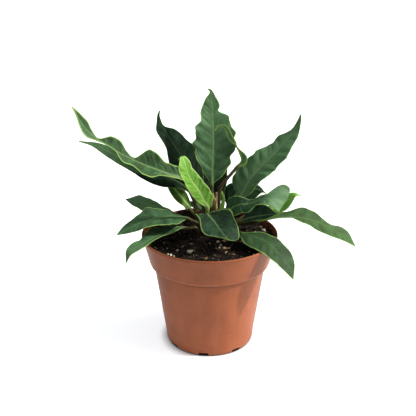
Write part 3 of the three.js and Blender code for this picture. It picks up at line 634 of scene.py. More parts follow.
def add_piece(name, mesh, finish, slot, replaced=(), sharp=None, **measures):
    """Makes a mesh into a finished piece that rides with the object, with measures at its points."""
    for key, values in measures.items():
        layer = mesh.attributes.new(key, "FLOAT", "POINT")
        layer.data.foreach_set("value", np.asarray(values, np.float32))
    mesh.shade_smooth()
    if sharp:
        mesh.set_sharp_from_angle(angle=math.radians(sharp))
    mesh.materials.append(finish)
    piece = new_object(name, mesh)
    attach(piece, BODY)
    if replaced:
        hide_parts(*replaced)


def turned(profile, sides):
    """A closed shell of revolution from (radius, height) points in mm, the first and last on the axis."""
    bm = bmesh.new()
    line = [bm.verts.new((r * MM, 0, z * MM)) for r, z in profile]
    edges = [bm.edges.new(pair) for pair in zip(line, line[1:])]
    bmesh.ops.spin(
        bm, geom=line + edges, cent=(0, 0, 0), axis=(0, 0, 1), angle=2 * math.pi, steps=sides,
        use_merge=True,
    )
    bmesh.ops.remove_doubles(bm, verts=bm.verts, dist=MERGE_DISTANCE * MM)
    bmesh.ops.recalc_face_normals(bm, faces=bm.faces)
    return bm


def arc(x, z, radius, start, end, steps):
    """Points on an arc, by angles in degrees from the outward direction."""
    angles = np.radians(np.linspace(start, end, steps + 1))
    return [(x + radius * math.cos(a), z + radius * math.sin(a)) for a in angles]


# Pot

def pot_profile(wall, lip):
    """The pot's outline: up the outside, over the rolled lip, down the inside."""
    base, corner, rim = BASE_RADIUS, CORNER_RADIUS, RIM_RADIUS
    body, collar = BODY_TOP_RADIUS, COLLAR_FOOT_RADIUS
    foot = base - corner
    slope = (rim - 0.7 - collar) / (POT_HEIGHT - 2.4 - STEP)
    ridge = STEP + 3.2
    return [
        (0, 0.5), (14, 0.5), (15, 0.05), (foot * 0.93, 0.0),
        *arc(foot + 0.1, corner - 0.2, corner - 0.2, -90, -12, 5),
        (base + 0.25, corner + 0.9), *arc(base + 0.1, corner + 1.6, 0.25, -20, 60, 2),
        (base + 0.15, corner + 2.2), (base + 3.6, corner + 26), (base + 7.0, corner + 50),
        *((body - 0.15 * (depth + 0.2), STEP - 1.2 - depth) for depth in (4.5, 3, 1.8, 0.8, 0)),
        *arc(body + 0.75, STEP - 0.75, 0.7, 180, 100, 3),
        (collar - 0.9, STEP), *arc(collar - 0.8, STEP + 0.8, 0.8, -90, -10, 4),
        (collar + slope * 2.6, ridge - 0.5), *arc(collar + slope * 3.2 - 0.05, ridge, 0.22, -60, 60, 3),
        (collar + slope * 3.9, ridge + 0.55), (collar + slope * 14, STEP + 14),
        (rim - 0.75, POT_HEIGHT - lip - 0.75), (rim - 0.55, POT_HEIGHT - lip - 0.35),
        *arc(rim - 0.5, POT_HEIGHT - lip + 0.15, 0.5, -50, 0, 2),
        *arc(rim - 0.65, POT_HEIGHT - 0.65, 0.65, 0, 150, 7),
        (rim - wall - 0.02, POT_HEIGHT - 0.9), (collar - wall, STEP + wall + 0.6),
        *arc(collar - wall - 0.6, STEP + wall + 0.6, 0.6, 0, -80, 3),
        (body - wall, STEP + 0.5), (base - wall + 0.3, corner + 1), (foot, FLOOR), (0, FLOOR),
    ]


def drain_slots():
    """One cutter for all the slots round the corner of the base."""
    bm = bmesh.new()
    for i in range(SLOTS):
        turn = Matrix.Rotation(math.radians(SLOT_TURN + 360 * i / SLOTS), 4, "Z")
        place = turn @ Matrix.Translation((0, -BASE_RADIUS * MM, 0))
        size = Matrix.Diagonal((*(s * MM for s in SLOT_SIZE), 1))
        bmesh.ops.create_cube(bm, size=1, matrix=place @ size)
    uprights = [e for e in bm.edges if abs(e.verts[0].co.z - e.verts[1].co.z) > MM]
    bmesh.ops.bevel(
        bm, geom=uprights, offset=0.8 * MM, affect="EDGES", segments=3, profile=0.5, material=-1,
    )
    return new_object("slot cutter", to_mesh("slot cutter", bm))


class ANTHURIUM_OT_pot(bpy.types.Operator):
    """Adds the turned plastic pot with its collar, lip and drain slots"""
    bl_idname = "anthurium.pot"
    bl_label = "Add pot"

    def execute(self, context):
        settings = context.scene.anthurium_pot
        bm = turned(pot_profile(settings.wall / MM, settings.lip / MM), settings.sides)
        blank = new_object("pot blank", to_mesh("pot shell", bm))
        cutter = drain_slots()
        cut = blank.modifiers.new("cut", "BOOLEAN")
        cut.operation, cut.solver, cut.object = "DIFFERENCE", "EXACT", cutter
        mesh = final_mesh(blank)
        bpy.data.objects.remove(cutter)
        heights = np.array([v.co.z for v in mesh.vertices]) / MM
        inside = np.array([math.hypot(v.co.x, v.co.y) for v in mesh.vertices]) / MM < RIM_RADIUS - 1
        near_rim = np.clip((heights - POT_HEIGHT + RIM_DIRT_AND_SHADE) / RIM_DIRT_AND_SHADE, 0, 1)
        near_foot = np.clip((FOOT_STAIN - heights) / FOOT_STAIN, 0, 1)
        # Dirt near the foot, dirt and painted shade near the rim, and painted shade down the inside of the
        # rim.
        stain = near_rim * 0.22 + near_foot * 0.35
        stain[inside & (heights > POT_HEIGHT - INSIDE_SHADE)] = 0.8
        # Painted shade under the collar's step and along the ridge above it, none on the inside.
        groove = 0.92 * np.exp(-(((heights - STEP + 0.5) / 1.6) ** 4))
        groove += 0.4 * np.exp(-(((heights - STEP - 2.8) / 0.4) ** 2))
        groove[inside & (heights > STEP)] = 0
        finish = pot_finish(settings)
        add_piece("pot_shell", mesh, finish, "pot", ["pot"], 40, stain=stain, groove=groove)
        return {"FINISHED"}


# Soil

# Lumps of peat, large and small: how many a millimetre, the layer of noise and their height.
PEAT_LUMPS = ((0.28, 0.0, 1.9), (0.8, 5.0, 0.55))
LUMP_LIMIT = 0.6


def inner_radius(z, wall):
    """The pot's inner radius at a height in its collar."""
    share = (z - STEP - wall) / (POT_HEIGHT - STEP - wall)
    return COLLAR_FOOT_RADIUS - wall + (RIM_RADIUS - COLLAR_FOOT_RADIUS) * share


def ground(x, y):
    """The finished soil's height: lumps of peat over its heaps and hollows."""
    z = SOIL_LEVEL + 0.8 * math.sin(0.43 * x + 1.3) * math.sin(0.51 * y) + 0.5 * math.sin(0.9 * x - 0.7 * y)
    for at_x, at_y, rise, spread in HEAPS:
        z += rise * math.exp(-((x - at_x) ** 2 + (y - at_y) ** 2) / (2 * spread**2))
    lumps = 0
    for scale, layer, height in PEAT_LUMPS:
        near = noise.voronoi(Vector((x * scale, y * scale, layer)))[0]
        lumps += height * min(near[1] - near[0], LUMP_LIMIT)
    rough = noise.fractal(Vector((x * 0.55, y * 0.55, 2.0)), 0.8, 2.1, 4)
    edge = min(max((RIM_RADIUS - 2 - math.hypot(x, y)) / 3, 0), 1)
    return z + edge * (lumps + 0.75 * rough - 0.9)


def soil_shape(settings, wall):
    """A turned plug whose top is raised to the ground's height and whose side follows the wall."""
    edge = inner_radius(SOIL_LEVEL, wall)
    top = [(edge * i / settings.rings, SOIL_LEVEL) for i in range(settings.rings + 1)]
    side = [
        (COLLAR_FOOT_RADIUS - wall - 0.3, STEP + wall + 0.8), (BODY_TOP_RADIUS - wall - 0.3, STEP + 0.8),
        (BASE_RADIUS - wall, SOIL_FOOT), (0, SOIL_FOOT),
    ]
    bm = turned(top + side, settings.sides)
    for v in bm.verts:
        if v.co.z < (SOIL_LEVEL - 1) * MM:
            continue
        x, y = v.co.x / MM, v.co.y / MM
        reach = math.hypot(x, y)
        loose = min(max((edge - reach) / 4, 0), 1) * min(reach / 3, 1)
        drift = noise.noise_vector(Vector((x * 0.7, y * 0.7, 9.0))) * loose
        x, y = x + 0.6 * drift.x, y + 0.6 * drift.y
        z = min(ground(x, y), POT_HEIGHT + 3)
        if reach > edge - 0.01:
            scale = (inner_radius(min(z, POT_HEIGHT), wall) - 0.1) / reach
            x, y = x * scale, y * scale
        v.co = Vector((x, y, z)) * MM
    return bm


class ANTHURIUM_OT_soil(bpy.types.Operator):
    """Adds the lumpy soil surface that fills the pot"""
    bl_idname = "anthurium.soil"
    bl_label = "Add soil"

    def execute(self, context):
        settings = context.scene.anthurium_soil
        mesh = to_mesh("soil_surface", soil_shape(settings, context.scene.anthurium_pot.wall / MM))
        add_piece("soil_surface", mesh, soil_finish(settings, "peat", 0.8), "soil", ["soil"])
        return {"FINISHED"}


# Loose bits on the soil

# Grains and chips that the photo shows: x, y, size, tone from dark to light, and a chip's turn.
SEEN_GRIT = [
    (-32.6, -37.4, 1.3, 1.0), (-30, -38.4, 1.0, 0.9), (-35.2, -35.5, 1.2, 0.75), (-17.1, -33, 2.3, 0.45),
    (9.5, -20, 1.8, 0.4), (7.4, -15.6, 1.5, 0.8), (8.1, -25.3, 1.3, 0.6), (37.1, -39.4, 1.3, 0.7),
    (-15, -30.5, 1.2, 0.6), (-27.5, -28, 1.3, 0.3), (49.1, 14.6, 1.6, 0.6),
]
SEEN_CHIPS = [
    (12.5, -14, 3.8, 1.0, 70), (12.8, -24, 3.4, 0.9, 30), (-39.9, -11, 3.0, 0.95, 80),
    (-37, -12, 3.6, 0.5, 15), (-36, 40.5, 5.5, 0.1, 130), (-31, 43, 5.0, 0.15, 40),
    (16, -26, 2.6, 0.7, 10), (-23, -20, 3.8, 0.2, 50), (50, 12, 3.0, 0.8, 60),
    (46, 20, 3.6, 0.4, 20), (20, -17, 3.2, 0.25, 120),
]
LUMP_SHAPE = (1, 0.8, 0.7)


def free_spot(draw, low=8.0, high=54.5):
    """A random place on the soil between two distances from the axis."""
    reach = math.sqrt(draw.uniform(low**2, high**2))
    turn = draw.uniform(0, 2 * math.pi)
    return reach * math.cos(turn), reach * math.sin(turn)


class Litter:
    """Loose bits of one kind, gathered in one shape, with the tone of each at its points."""

    def __init__(self, seed):
        self.draw = random.Random(seed)
        self.bm = bmesh.new()
        self.tones = []

    def place(self, x, y, rise, turn, tilt, axis, sizes):
        """Where a bit lies: above the ground, turned, and tilted about an axis, in radians."""
        spin = Matrix.Rotation(turn, 4, "Z") @ Matrix.Rotation(tilt, 4, axis)
        place = Matrix.Translation(Vector((x, y, ground(x, y) + rise)) * MM)
        return place @ spin @ Matrix.Diagonal((*(s * MM for s in sizes), 1))

    def lump(self, x, y, size, rise, rough, subdivisions=2):
        """Adds one rounded lump, raised and roughened by shares of its size."""
        turn, tilt = self.draw.uniform(0, 2 * math.pi), self.draw.uniform(-0.7, 0.7)
        matrix = self.place(x, y, rise * size, turn, tilt, "X", [s * size for s in LUMP_SHAPE])
        made = bmesh.ops.create_icosphere(self.bm, subdivisions=subdivisions, radius=1, matrix=matrix)
        for v in made["verts"]:
            v.co += noise.noise_vector(v.co * 900) * rough * size * MM

    def chip(self, x, y, size, rise, turn, tilt):
        """Adds one flat, broken chip, raised by a share of its size."""
        sizes = (size, size * self.draw.uniform(0.35, 0.6), size * self.draw.uniform(0.16, 0.3))
        matrix = self.place(x, y, rise * size, math.radians(turn), tilt, "Y", sizes)
        before = len(self.bm.verts)
        cube = bmesh.ops.create_cube(self.bm, size=1, matrix=matrix)["verts"]
        edges = list(dict.fromkeys(e for v in cube for e in v.link_edges))
        bmesh.ops.subdivide_edges(self.bm, edges=edges, cuts=1, use_grid_fill=True)
        self.bm.verts.ensure_lookup_table()
        for v in self.bm.verts[before:]:
            v.co += noise.noise_vector(v.co * 700) * 0.1875 * size * MM

    def tint(self, tone):
        """Gives the newest bit its tone."""
        self.tones += [tone] * (len(self.bm.verts) - len(self.tones))


class ANTHURIUM_OT_bits(bpy.types.Operator):
    """Adds loose crumbs of peat, bark chips and grit to the soil"""
    bl_idname = "anthurium.bits"
    bl_label = "Add crumbs, bark and grit"

    def execute(self, context):
        settings = context.scene.anthurium_soil
        crumbs, chips, grit = Litter(11), Litter(5), Litter(3)
        for _ in range(settings.crumbs):
            x, y = free_spot(crumbs.draw, 3.0, 56.0)
            size = 0.5 + 1.2 * crumbs.draw.random() ** 2
            crumbs.lump(x, y, size, 0.2, 0.5, 2 if size > 1 else 1)
        mesh = to_mesh("peat_crumbs", crumbs.bm)
        add_piece("peat_crumbs", mesh, soil_finish(settings, "loose peat", 0.4), "soil")

        for x, y, size, tone, turn in SEEN_CHIPS:
            chips.chip(x, y, size, 0.15, turn, chips.draw.uniform(-0.3, 0.3))
            chips.tint(tone)
        for _ in range(settings.chips):
            x, y = free_spot(chips.draw, 10.0, 54.0)
            size, tilt = chips.draw.uniform(1.2, 3.4), chips.draw.uniform(-0.7, 0.7)
            chips.chip(x, y, size, 0.1, chips.draw.uniform(0, 360), tilt)
            chips.tint(chips.draw.random() ** 4)
        finish = bits_finish("bark", (0.022, 0.012, 0.007), (0.42, 0.27, 0.13), 0.7, 900)
        mesh = to_mesh("bark_chips", chips.bm)
        add_piece("bark_chips", mesh, finish, "soil", sharp=50, tone=chips.tones)

        for x, y, size, tone in SEEN_GRIT:
            grit.lump(x, y, size, 0.4, 0.35)
            grit.tint(tone)
        for _ in range(settings.grit):
            x, y = free_spot(grit.draw)
            grit.lump(x, y, grit.draw.uniform(0.3, 0.8), 0.25, 0.35)
            grit.tint(grit.draw.uniform(0.0, 0.55))
        finish = bits_finish("grit", (0.16, 0.13, 0.09), (0.72, 0.66, 0.50), 0.75, 1200)
        add_piece("grit", to_mesh("grit", grit.bm), finish, "soil", tone=grit.tones)
        return {"FINISHED"}


# Roots and fibres

FIBRE_STEPS = 6


def strands(name, paths):
    """A mesh of thin tapering strands, given as (points, radius) in mm."""
    curve = bpy.data.curves.new(name, "CURVE")
    curve.dimensions = "3D"
    curve.bevel_depth = MM
    curve.bevel_resolution = 0
    curve.use_fill_caps = True
    for points, radius in paths:
        spline = curve.splines.new("POLY")
        spline.points.add(len(points) - 1)
        for i, (point, target) in enumerate(zip(points, spline.points)):
            target.co = (*(c * MM for c in point), 1)
            target.radius = radius * (1 - 0.6 * i / (len(points) - 1))
    return final_mesh(new_object(name, curve))


class ANTHURIUM_OT_fibres(bpy.types.Operator):
    """Adds thin roots and peat fibres on the soil and at the rim"""
    bl_idname = "anthurium.fibres"
    bl_label = "Add roots and fibres"

    def execute(self, context):
        draw = random.Random(8)
        paths = []
        for i in range(context.scene.anthurium_soil.fibres):
            at_rim = i % 5 == 0
            x, y = free_spot(draw, 46, 55) if at_rim else free_spot(draw, 6, 52)
            heading = draw.uniform(0, 2 * math.pi)
            bend = draw.uniform(-0.45, 0.45)
            rise = draw.uniform(0.3, 1.6) if at_rim else draw.uniform(0, 0.7)
            stride = draw.uniform(3, 9) / FIBRE_STEPS
            points = []
            for k in range(FIBRE_STEPS + 1):
                lift = rise * math.sin(math.pi * min(k / FIBRE_STEPS, 0.8))
                points.append((x, y, ground(x, y) + lift - 0.15 * (k == 0)))
                heading += bend
                x, y = x + stride * math.cos(heading), y + stride * math.sin(heading)
                over = max(math.hypot(x, y) / (RIM_RADIUS - 2.6), 1)
                x, y = x / over, y / over
            paths.append((points, draw.uniform(0.08, 0.2)))
        finish = bits_finish("roots", (0.03, 0.018, 0.010), (0.26, 0.17, 0.09), 0.75, 500)
        mesh = strands("root_fibres", paths)
        add_piece("root_fibres", mesh, finish, "soil", tone=[0.5] * len(mesh.vertices))
        return {"FINISHED"}


# Leaf surface

MIDRIB_STEPS = 200
CRIMP_RATE = 2.9
# Lateral veins: how they slant and curve to the tip, how far apart they are on a leaf of no width
# and how that grows with half_width, and how far the right side's are shifted, as a share of it.
VEIN_SLANT, VEIN_CURVE = 0.8, 0.016
VEIN_SPACING, VEIN_SPREAD = 2.4, 0.13
VEIN_SHIFT = 0.45
# How soon a blade's edge thins to its rim, and how much of its thickness is left there.
EDGE_WIDTH, EDGE_DEPTH = 0.7, 0.93
# The midrib's half-width at the blade's base, what it loses to the tip, and the joint at its head.
RIB_WIDTH, RIB_TAPER = 1.45, 0.95
JOINT_SWELL, JOINT_PLACE, JOINT_SPREAD = 0.22, -0.04, 0.045


def through(points, t):
    """Places and slopes on the smooth curve through the points, at t from 0 to 1."""
    points = np.asarray(points, float)
    padded = np.vstack([2 * points[0] - points[1], points, 2 * points[-1] - points[-2]])
    place = np.clip(t, 0, 1) * (len(points) - 1)
    i = np.minimum(place.astype(int), len(points) - 2)
    w = (place - i)[:, None]
    before, here, there, after = (padded[i + k] for k in range(4))
    slope, next_slope = (there - before) / 2, (after - here) / 2
    square = 3 * (there - here) - 2 * slope - next_slope
    cube = 2 * (here - there) + slope + next_slope
    return here + slope * w + square * w**2 + cube * w**3, slope + 2 * square * w + 3 * cube * w**2


class Midrib:
    """A leaf's midrib curve by share of its length, and where the blade begins on it."""

    def __init__(self, leaf):
        root, *stalk = leaf.stalk
        self.points = [(*root, ROOT_DEPTH), *stalk, *(p[:3] for p in leaf.blade)]
        rolls = [(*p, 0)[3:4] for p in leaf.blade]
        self.rolls = rolls[:1] * len(leaf.stalk) + rolls
        self.grid = np.linspace(0, 1, MIDRIB_STEPS + 1)
        steps = np.linalg.norm(np.diff(through(self.points, self.grid)[0], axis=0), axis=1)
        self.lengths = np.concatenate([[0], np.cumsum(steps)])
        self.length = self.lengths[-1]
        begin = (len(leaf.stalk) - 0.5) / (len(self.points) - 1)
        self.start = self.lengths[round(begin * MIDRIB_STEPS)] / self.length

    def sample(self, share, heading):
        """Centres, side and up directions at the given shares."""
        t = np.interp(share * self.length, self.lengths, self.grid)
        centre, slope = through(self.points, t)
        tangent = slope / np.linalg.norm(slope, axis=1, keepdims=True)
        level = np.array([math.sin(math.radians(heading)), -math.cos(math.radians(heading)), 0])
        side = level - tangent * (tangent @ level)[:, None]
        side /= np.linalg.norm(side, axis=1, keepdims=True)
        roll = np.radians(through(self.rolls, t)[0])
        side = side * np.cos(roll) + np.cross(tangent, side) * np.sin(roll)
        return centre, side, np.cross(side, tangent)


def outline(leaf, along):
    """The blade's half-width as a share of its widest: a sine up to it, a cosine past it."""
    rising = np.sin(np.pi / 2 * np.clip(along / leaf.widest, 0, 1)) ** leaf.base
    falling = np.cos(np.pi / 2 * np.clip((along - leaf.widest) / (1 - leaf.widest), 0, 1)) ** leaf.taper
    return np.where(along < leaf.widest, rising, falling)


def smooth_step(values, low, high):
    """From 0 where values are low to 1 where they are high."""
    share = np.clip((values - low) / (high - low), 0, 1)
    return share * share * (3 - 2 * share)


def margin(widths, along):
    """A listed half-width along the blade."""
    return through([(w,) for w in (STALK_RADIUS, *widths, TIP_HALF_WIDTH)], along[:, 0])[0]


def leaf_surface(leaf, rib, settings, share, across):
    """The leaf's upper and lower points in mm, and the measures that its finish reads."""
    centre, side, up = rib.sample(share, leaf.heading)
    along = ((share - rib.start) / (1 - rib.start))[:, None]
    across = across[None, :]
    right = across > 0
    blade = np.clip(along, 0, 1)
    shape = outline(leaf, along)

    turn = 2 * np.pi * (leaf.waves * along + leaf.phase + right * leaf.offset)
    crimp = np.sin(CRIMP_RATE * turn + 1.3) + 0.6 * np.sin(4.7 * turn + 0.4)
    plain = STALK_RADIUS + (TIP_HALF_WIDTH - STALK_RADIUS) * blade
    half = plain + (leaf.half_width * (1 + leaf.ruffle * np.sin(turn)) - plain) * shape
    if leaf.left:
        half = np.where(right, margin(leaf.right, blade), margin(leaf.left, blade))
    half = half * (1 + leaf.frill * crimp * shape)
    beside = half * np.abs(across)
    rim = half - beside
    fold = np.radians(leaf.fold) * shape
    lift = beside * np.sin(fold) + leaf.wave * shape * across**2 * np.sin(turn)
    lift = lift + leaf.frill * leaf.half_width * shape * across**4 * np.cos(CRIMP_RATE * turn + 0.7)

    run = along * rib.length * (1 - rib.start)
    stray = 1.1 * np.sin(0.31 * run + 2 * leaf.phase) + 0.7 * np.sin(0.74 * run + right * 2.1)
    vein = run + stray - VEIN_SLANT * beside - VEIN_CURVE * beside**2
    vein = vein / (VEIN_SPACING + VEIN_SPREAD * leaf.half_width) + right * VEIN_SHIFT
    inner = smooth_step(beside, 0.6, 3.0) * smooth_step(rim, 0.2, 2.5) * smooth_step(along, 0.0, 0.08)
    slant = run - VEIN_SLANT * beside + right * 5 + 9 * leaf.phase
    buckle = np.sin(0.52 * slant) + 0.7 * np.sin(0.83 * slant + 0.25 * beside)
    buckle = buckle + 0.5 * np.sin(1.31 * slant - 0.2 * beside)
    swell = settings.buckle / MM * buckle * smooth_step(beside, 0.0, 7.0)
    lift = lift + inner * (swell - settings.relief / MM * np.cos(2 * np.pi * vein))
    width = half * across * np.cos(fold)
    surface = centre[:, None] + side[:, None] * width[..., None] + up[:, None] * lift[..., None]
    normal = np.cross(np.gradient(surface, axis=1), np.gradient(surface, axis=0))
    normal /= np.linalg.norm(normal, axis=2, keepdims=True)

    edge = settings.thickness / MM / 2 * np.sqrt(1 - np.clip(1 - rim / EDGE_WIDTH, 0, EDGE_DEPTH) ** 2)
    joint = 1 + JOINT_SWELL * np.exp(-(((along - JOINT_PLACE) / JOINT_SPREAD) ** 2))
    stalk = max(1e-6, 1 - rib.start)
    sheath = 1 + 0.35 * smooth_step(-along, 0.45 / stalk, 1.0 / stalk)
    arch = 1 - (beside / ((RIB_WIDTH - RIB_TAPER * blade**0.6) * joint)) ** 2
    ridge = STALK_RADIUS * (1 - blade) ** 1.2 * joint * sheath * np.sqrt(np.clip(arch, 0, 1))
    on_blade = smooth_step(along, -0.02, 0.14)
    above, below = ridge * (0.92 - 0.62 * on_blade), ridge * (1.0 - 0.25 * on_blade)
    top = surface + normal * ((edge**3 + above**3) ** (1 / 3))[..., None]
    bottom = surface - normal * ((edge**3 + below**3) ** (1 / 3))[..., None]
    measures = {
        "rib": half * across, "rim": rim / leaf.edge, "along": along, "vein": vein,
        "pale": leaf.pale[0] + (leaf.pale[1] - leaf.pale[0]) * blade**2.2,
        "dull": leaf.dull[0] + (leaf.dull[1] - leaf.dull[0]) * blade,
        "veins": leaf.veins, "sheen": leaf.sheen, "fresh": leaf.fresh,
    }
    return top, bottom, {key: value * np.ones_like(beside) for key, value in measures.items()}


def leaf_mesh(name, leaf, settings, columns):
    """A closed blade-and-stalk mesh: a grid made a slab, then laid on the leaf's two faces."""
    rib = Midrib(leaf)
    row = settings.row / MM
    stalk_rows = max(6, round(rib.start * rib.length / (1.7 * row)))
    blade_rows = max(12, round((1 - rib.start) * rib.length / row))
    rows = stalk_rows + blade_rows
    stalk_share = np.linspace(1 / rib.length, rib.start, stalk_rows + 1)
    share = np.concatenate([stalk_share, np.linspace(rib.start, 1, blade_rows + 1)[1:]])
    even = np.linspace(-1, 1, columns + 1)
    across = even - 0.62 * np.sin(2 * np.pi * even) / (2 * np.pi)
    top, bottom, measures = leaf_surface(leaf, rib, settings, share, across)

    bm = bmesh.new()
    bmesh.ops.create_grid(bm, x_segments=columns, y_segments=rows, size=0.5)
    slab = bmesh.ops.extrude_face_region(bm, geom=bm.faces[:], use_keep_orig=True)["geom"]
    lower = [v for v in slab if isinstance(v, bmesh.types.BMVert)]
    bmesh.ops.translate(bm, verts=lower, vec=(0, 0, -1))
    bmesh.ops.recalc_face_normals(bm, faces=bm.faces)
    mesh = to_mesh(name, bm)

    co = np.empty(len(mesh.vertices) * 3, np.float32)
    mesh.vertices.foreach_get("co", co)
    x, y, z = co.reshape(-1, 3).T
    column, line = (np.rint((at + 0.5) * steps).astype(int) for at, steps in ((x, columns), (y, rows)))
    upper = z > -0.5
    placed = np.where(upper[:, None], top[line, column], bottom[line, column]) * MM
    mesh.vertices.foreach_set("co", placed.astype(np.float32).ravel())
    mesh.update()
    values = {key: grid[line, column] for key, grid in measures.items()}
    return mesh, {**values, "upper": upper}


class ANTHURIUM_OT_leaves(bpy.types.Operator):
    """Adds every leaf, each a blade and its stalk in one piece"""
    bl_idname = "anthurium.leaves"
    bl_label = "Add leaves"

    def execute(self, context):
        s = context.scene.anthurium_leaf
        # Stalk tones darkened so the stalks sink into the crown's shade: their own brown-green and painted
        # shade together.
        stalk = ((0.10, 0.09, 0.036), (0.10, 0.055, 0.030))
        grown = (s.dark, s.green, s.pale, s.rib, s.margin)
        young = (s.lime, s.young_pale, s.young_pale, s.young_margin, s.young_margin)
        # The old leaf finish is a darker copy of the grown one: partly an old blade's darker green and
        # partly painted shade.
        finishes = {
            "grown leaf": (0.15, stalk, *grown),
            "old leaf": (0.05, stalk, *(shade(tone, 0.62) for tone in grown)),
            "young leaf": (0.22, ((0.20, 0.26, 0.07), (0.13, 0.09, 0.04)), *young),
        }
        finishes = {name: leaf_finish(name, *tones) for name, tones in finishes.items()}
        for name, leaf in LEAVES.items():
            piece = name + "_leaf"
            mesh, measures = leaf_mesh(piece, leaf, s, s.columns)
            add_piece(piece, mesh, finishes[leaf.finish], leaf.slot, ["leaf_" + name], **measures)
        return {"FINISHED"}


# Crown

def stem_shape():
    """The short stem: a turned core, ridged along its length and ringed by leaf scars."""
    heights = np.linspace(ROOT_DEPTH, STEM_TOP, 56)
    ends = [ROOT_DEPTH, ROOT_DEPTH + 4, STEM_TOP - 20, STEM_TOP - 2, STEM_TOP]
    radii = STEM_RADIUS * np.interp(heights, ends, [0.8, 1, 1, 0.5, 0.12])
    bm = turned([(0, ROOT_DEPTH), *zip(radii, heights), (0, STEM_TOP)], 36)
    for v in bm.verts:
        turn = math.atan2(v.co.y, v.co.x)
        z = v.co.z / MM
        ridge = 0.05 * math.sin(9 * turn + 0.3 * z) + 0.03 * math.sin(17 * turn - 0.5 * z)
        scar = 0.09 * max(0, math.sin(1.15 * z + 1.4 * math.sin(turn))) ** 6
        grow = 1 + ridge + scar + 0.10 * noise.noise(Vector((turn, z * 0.3, 4.0)))
        v.co.x = v.co.x * grow + CROWN[0] * MM
        v.co.y = v.co.y * grow + CROWN[1] * MM
    return bm


class ANTHURIUM_OT_crown(bpy.types.Operator):
    """Adds the short stem and its dry sheaths"""
    bl_idname = "anthurium.crown"
    bl_label = "Add stem and sheaths"

    def execute(self, context):
        bm = stem_shape()
        fresh = [0.0] * len(bm.verts)
        look = dict(fold=28, wave=0.35, waves=1.6, taper=0.9)
        for heading, green, half_width, root, path in SHEATHS:
            sheath = Leaf(heading, [root], path, half_width=half_width, **look)
            mesh, _ = leaf_mesh("sheath", sheath, context.scene.anthurium_leaf, 10)
            bm.from_mesh(mesh)
            fresh += [green] * len(mesh.vertices)
            bpy.data.meshes.remove(mesh)
        add_piece("crown_stem", to_mesh("crown_stem", bm), stem_finish(), "stem", ["crown"], fresh=fresh)
        return {"FINISHED"}


# Stage

EYE = (-1.47, -617.4, 373.3)
PITCH = 0.3809
FRAME_PIXELS = 416
SENSOR_MM = 36
WARM, COOL = (1.0, 0.98, 0.95), (0.93, 0.96, 1.0)
# Square lights: the setting with the power of each, its place, size and colour.
AREA_LIGHTS = (
    ("top", (-100, -100, 1700), 2000, COOL), ("side", (2300, -100, 900), 2000, WARM),
    ("fill", (-1300, -850, 1300), 1300, COOL),
)
LIT_POINT = (0, 0, 100)


def add_light(name, kind, place, energy, **settings):
    """A light that shines at the plant."""
    light = bpy.data.lights.new(name, kind)
    light.energy = energy
    for key, value in settings.items():
        setattr(light, key, value)
    lamp = new_object(name, light)
    lamp.location = Vector(place) * MM
    lamp.rotation_euler = (Vector(LIT_POINT) * MM - lamp.location).to_track_quat("-Z", "Y").to_euler()


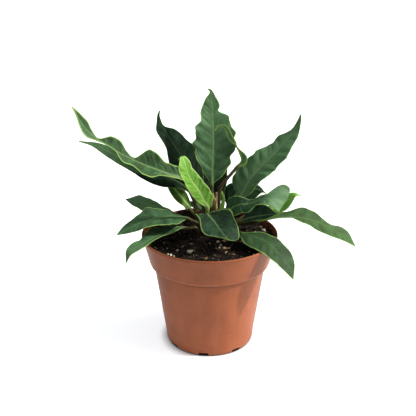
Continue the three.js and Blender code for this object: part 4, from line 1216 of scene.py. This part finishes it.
class ANTHURIUM_OT_stage(bpy.types.Operator):
    """Adds the plain floor, the soft lights and the camera"""
    bl_idname = "anthurium.stage"
    bl_label = "Add stage"

    def execute(self, context):
        settings = context.scene.anthurium_stage
        bm = bmesh.new()
        bmesh.ops.create_grid(bm, x_segments=2, y_segments=2, size=settings.floor_size)
        floor = new_object("floor", to_mesh("floor", bm))
        floor.data.materials.append(floor_finish(settings))

        context.scene.world = bpy.data.worlds.new("studio")
        sky = Finish("studio", context.scene.world)
        sky.by_eye("ShaderNodeOutputWorld", *(
            sky.node("ShaderNodeBackground", {}, {"Color": (1, 1, 1, 1), "Strength": strength})
            for strength in (settings.sky, 1)
        ))
        sun = dict(angle=math.radians(3), color=(1.0, 0.97, 0.93))
        add_light("key", "SUN", (2000, -300, 1850), settings.key, **sun)
        for name, place, size, tint in AREA_LIGHTS:
            energy = getattr(settings, name)
            add_light(name, "AREA", place, energy, shape="SQUARE", size=size * MM, color=tint)

        camera = bpy.data.cameras.new("camera")
        camera.sensor_width = SENSOR_MM
        camera.lens = settings.focal_pixels / FRAME_PIXELS * SENSOR_MM
        camera.clip_end = 50
        eye = new_object("camera", camera)
        eye.location = [c * MM for c in EYE]
        eye.rotation_euler = (math.pi / 2 - PITCH, 0, 0)
        context.scene.camera = eye
        context.scene.view_settings.view_transform = "Standard"
        return {"FINISHED"}


class ANTHURIUM_PT_panel(bpy.types.Panel):
    """Every step as a button, and every setting"""
    bl_label = "Potted anthurium"
    bl_idname = "ANTHURIUM_PT_panel"
    bl_space_type = "VIEW_3D"
    bl_region_type = "UI"
    bl_category = "Anthurium"

    def draw(self, context):
        for operator in OPERATORS:
            self.layout.operator(operator.bl_idname)
        for name in SETTINGS:
            group = getattr(context.scene, name)
            box = self.layout.box()
            for key in group.bl_rna.properties.keys():
                if key not in ("rna_type", "name"):
                    box.prop(group, key)


OPERATORS = (
    ANTHURIUM_OT_stage, ANTHURIUM_OT_pot, ANTHURIUM_OT_soil, ANTHURIUM_OT_bits,
    ANTHURIUM_OT_fibres, ANTHURIUM_OT_crown, ANTHURIUM_OT_leaves,
)
SETTINGS = {
    "anthurium_pot": PotSettings, "anthurium_soil": SoilSettings,
    "anthurium_leaf": LeafSettings, "anthurium_stage": StageSettings,
}


def register():
    noise.seed_set(NOISE_SEED)
    for name, group in SETTINGS.items():
        bpy.utils.register_class(group)
        setattr(bpy.types.Scene, name, PointerProperty(type=group))
    for kind in (*OPERATORS, ANTHURIUM_PT_panel):
        bpy.utils.register_class(kind)


def unregister():
    for kind in (ANTHURIUM_PT_panel, *reversed(OPERATORS)):
        bpy.utils.unregister_class(kind)
    for name, group in reversed(SETTINGS.items()):
        delattr(bpy.types.Scene, name)
        bpy.utils.unregister_class(group)


def main():
    register()
    bpy.ops.anthurium.stage()
    bpy.ops.anthurium.pot()
    bpy.ops.anthurium.soil()
    bpy.ops.anthurium.bits()
    bpy.ops.anthurium.fibres()
    bpy.ops.anthurium.crown()
    bpy.ops.anthurium.leaves()


if __name__ == "__main__":
    main()
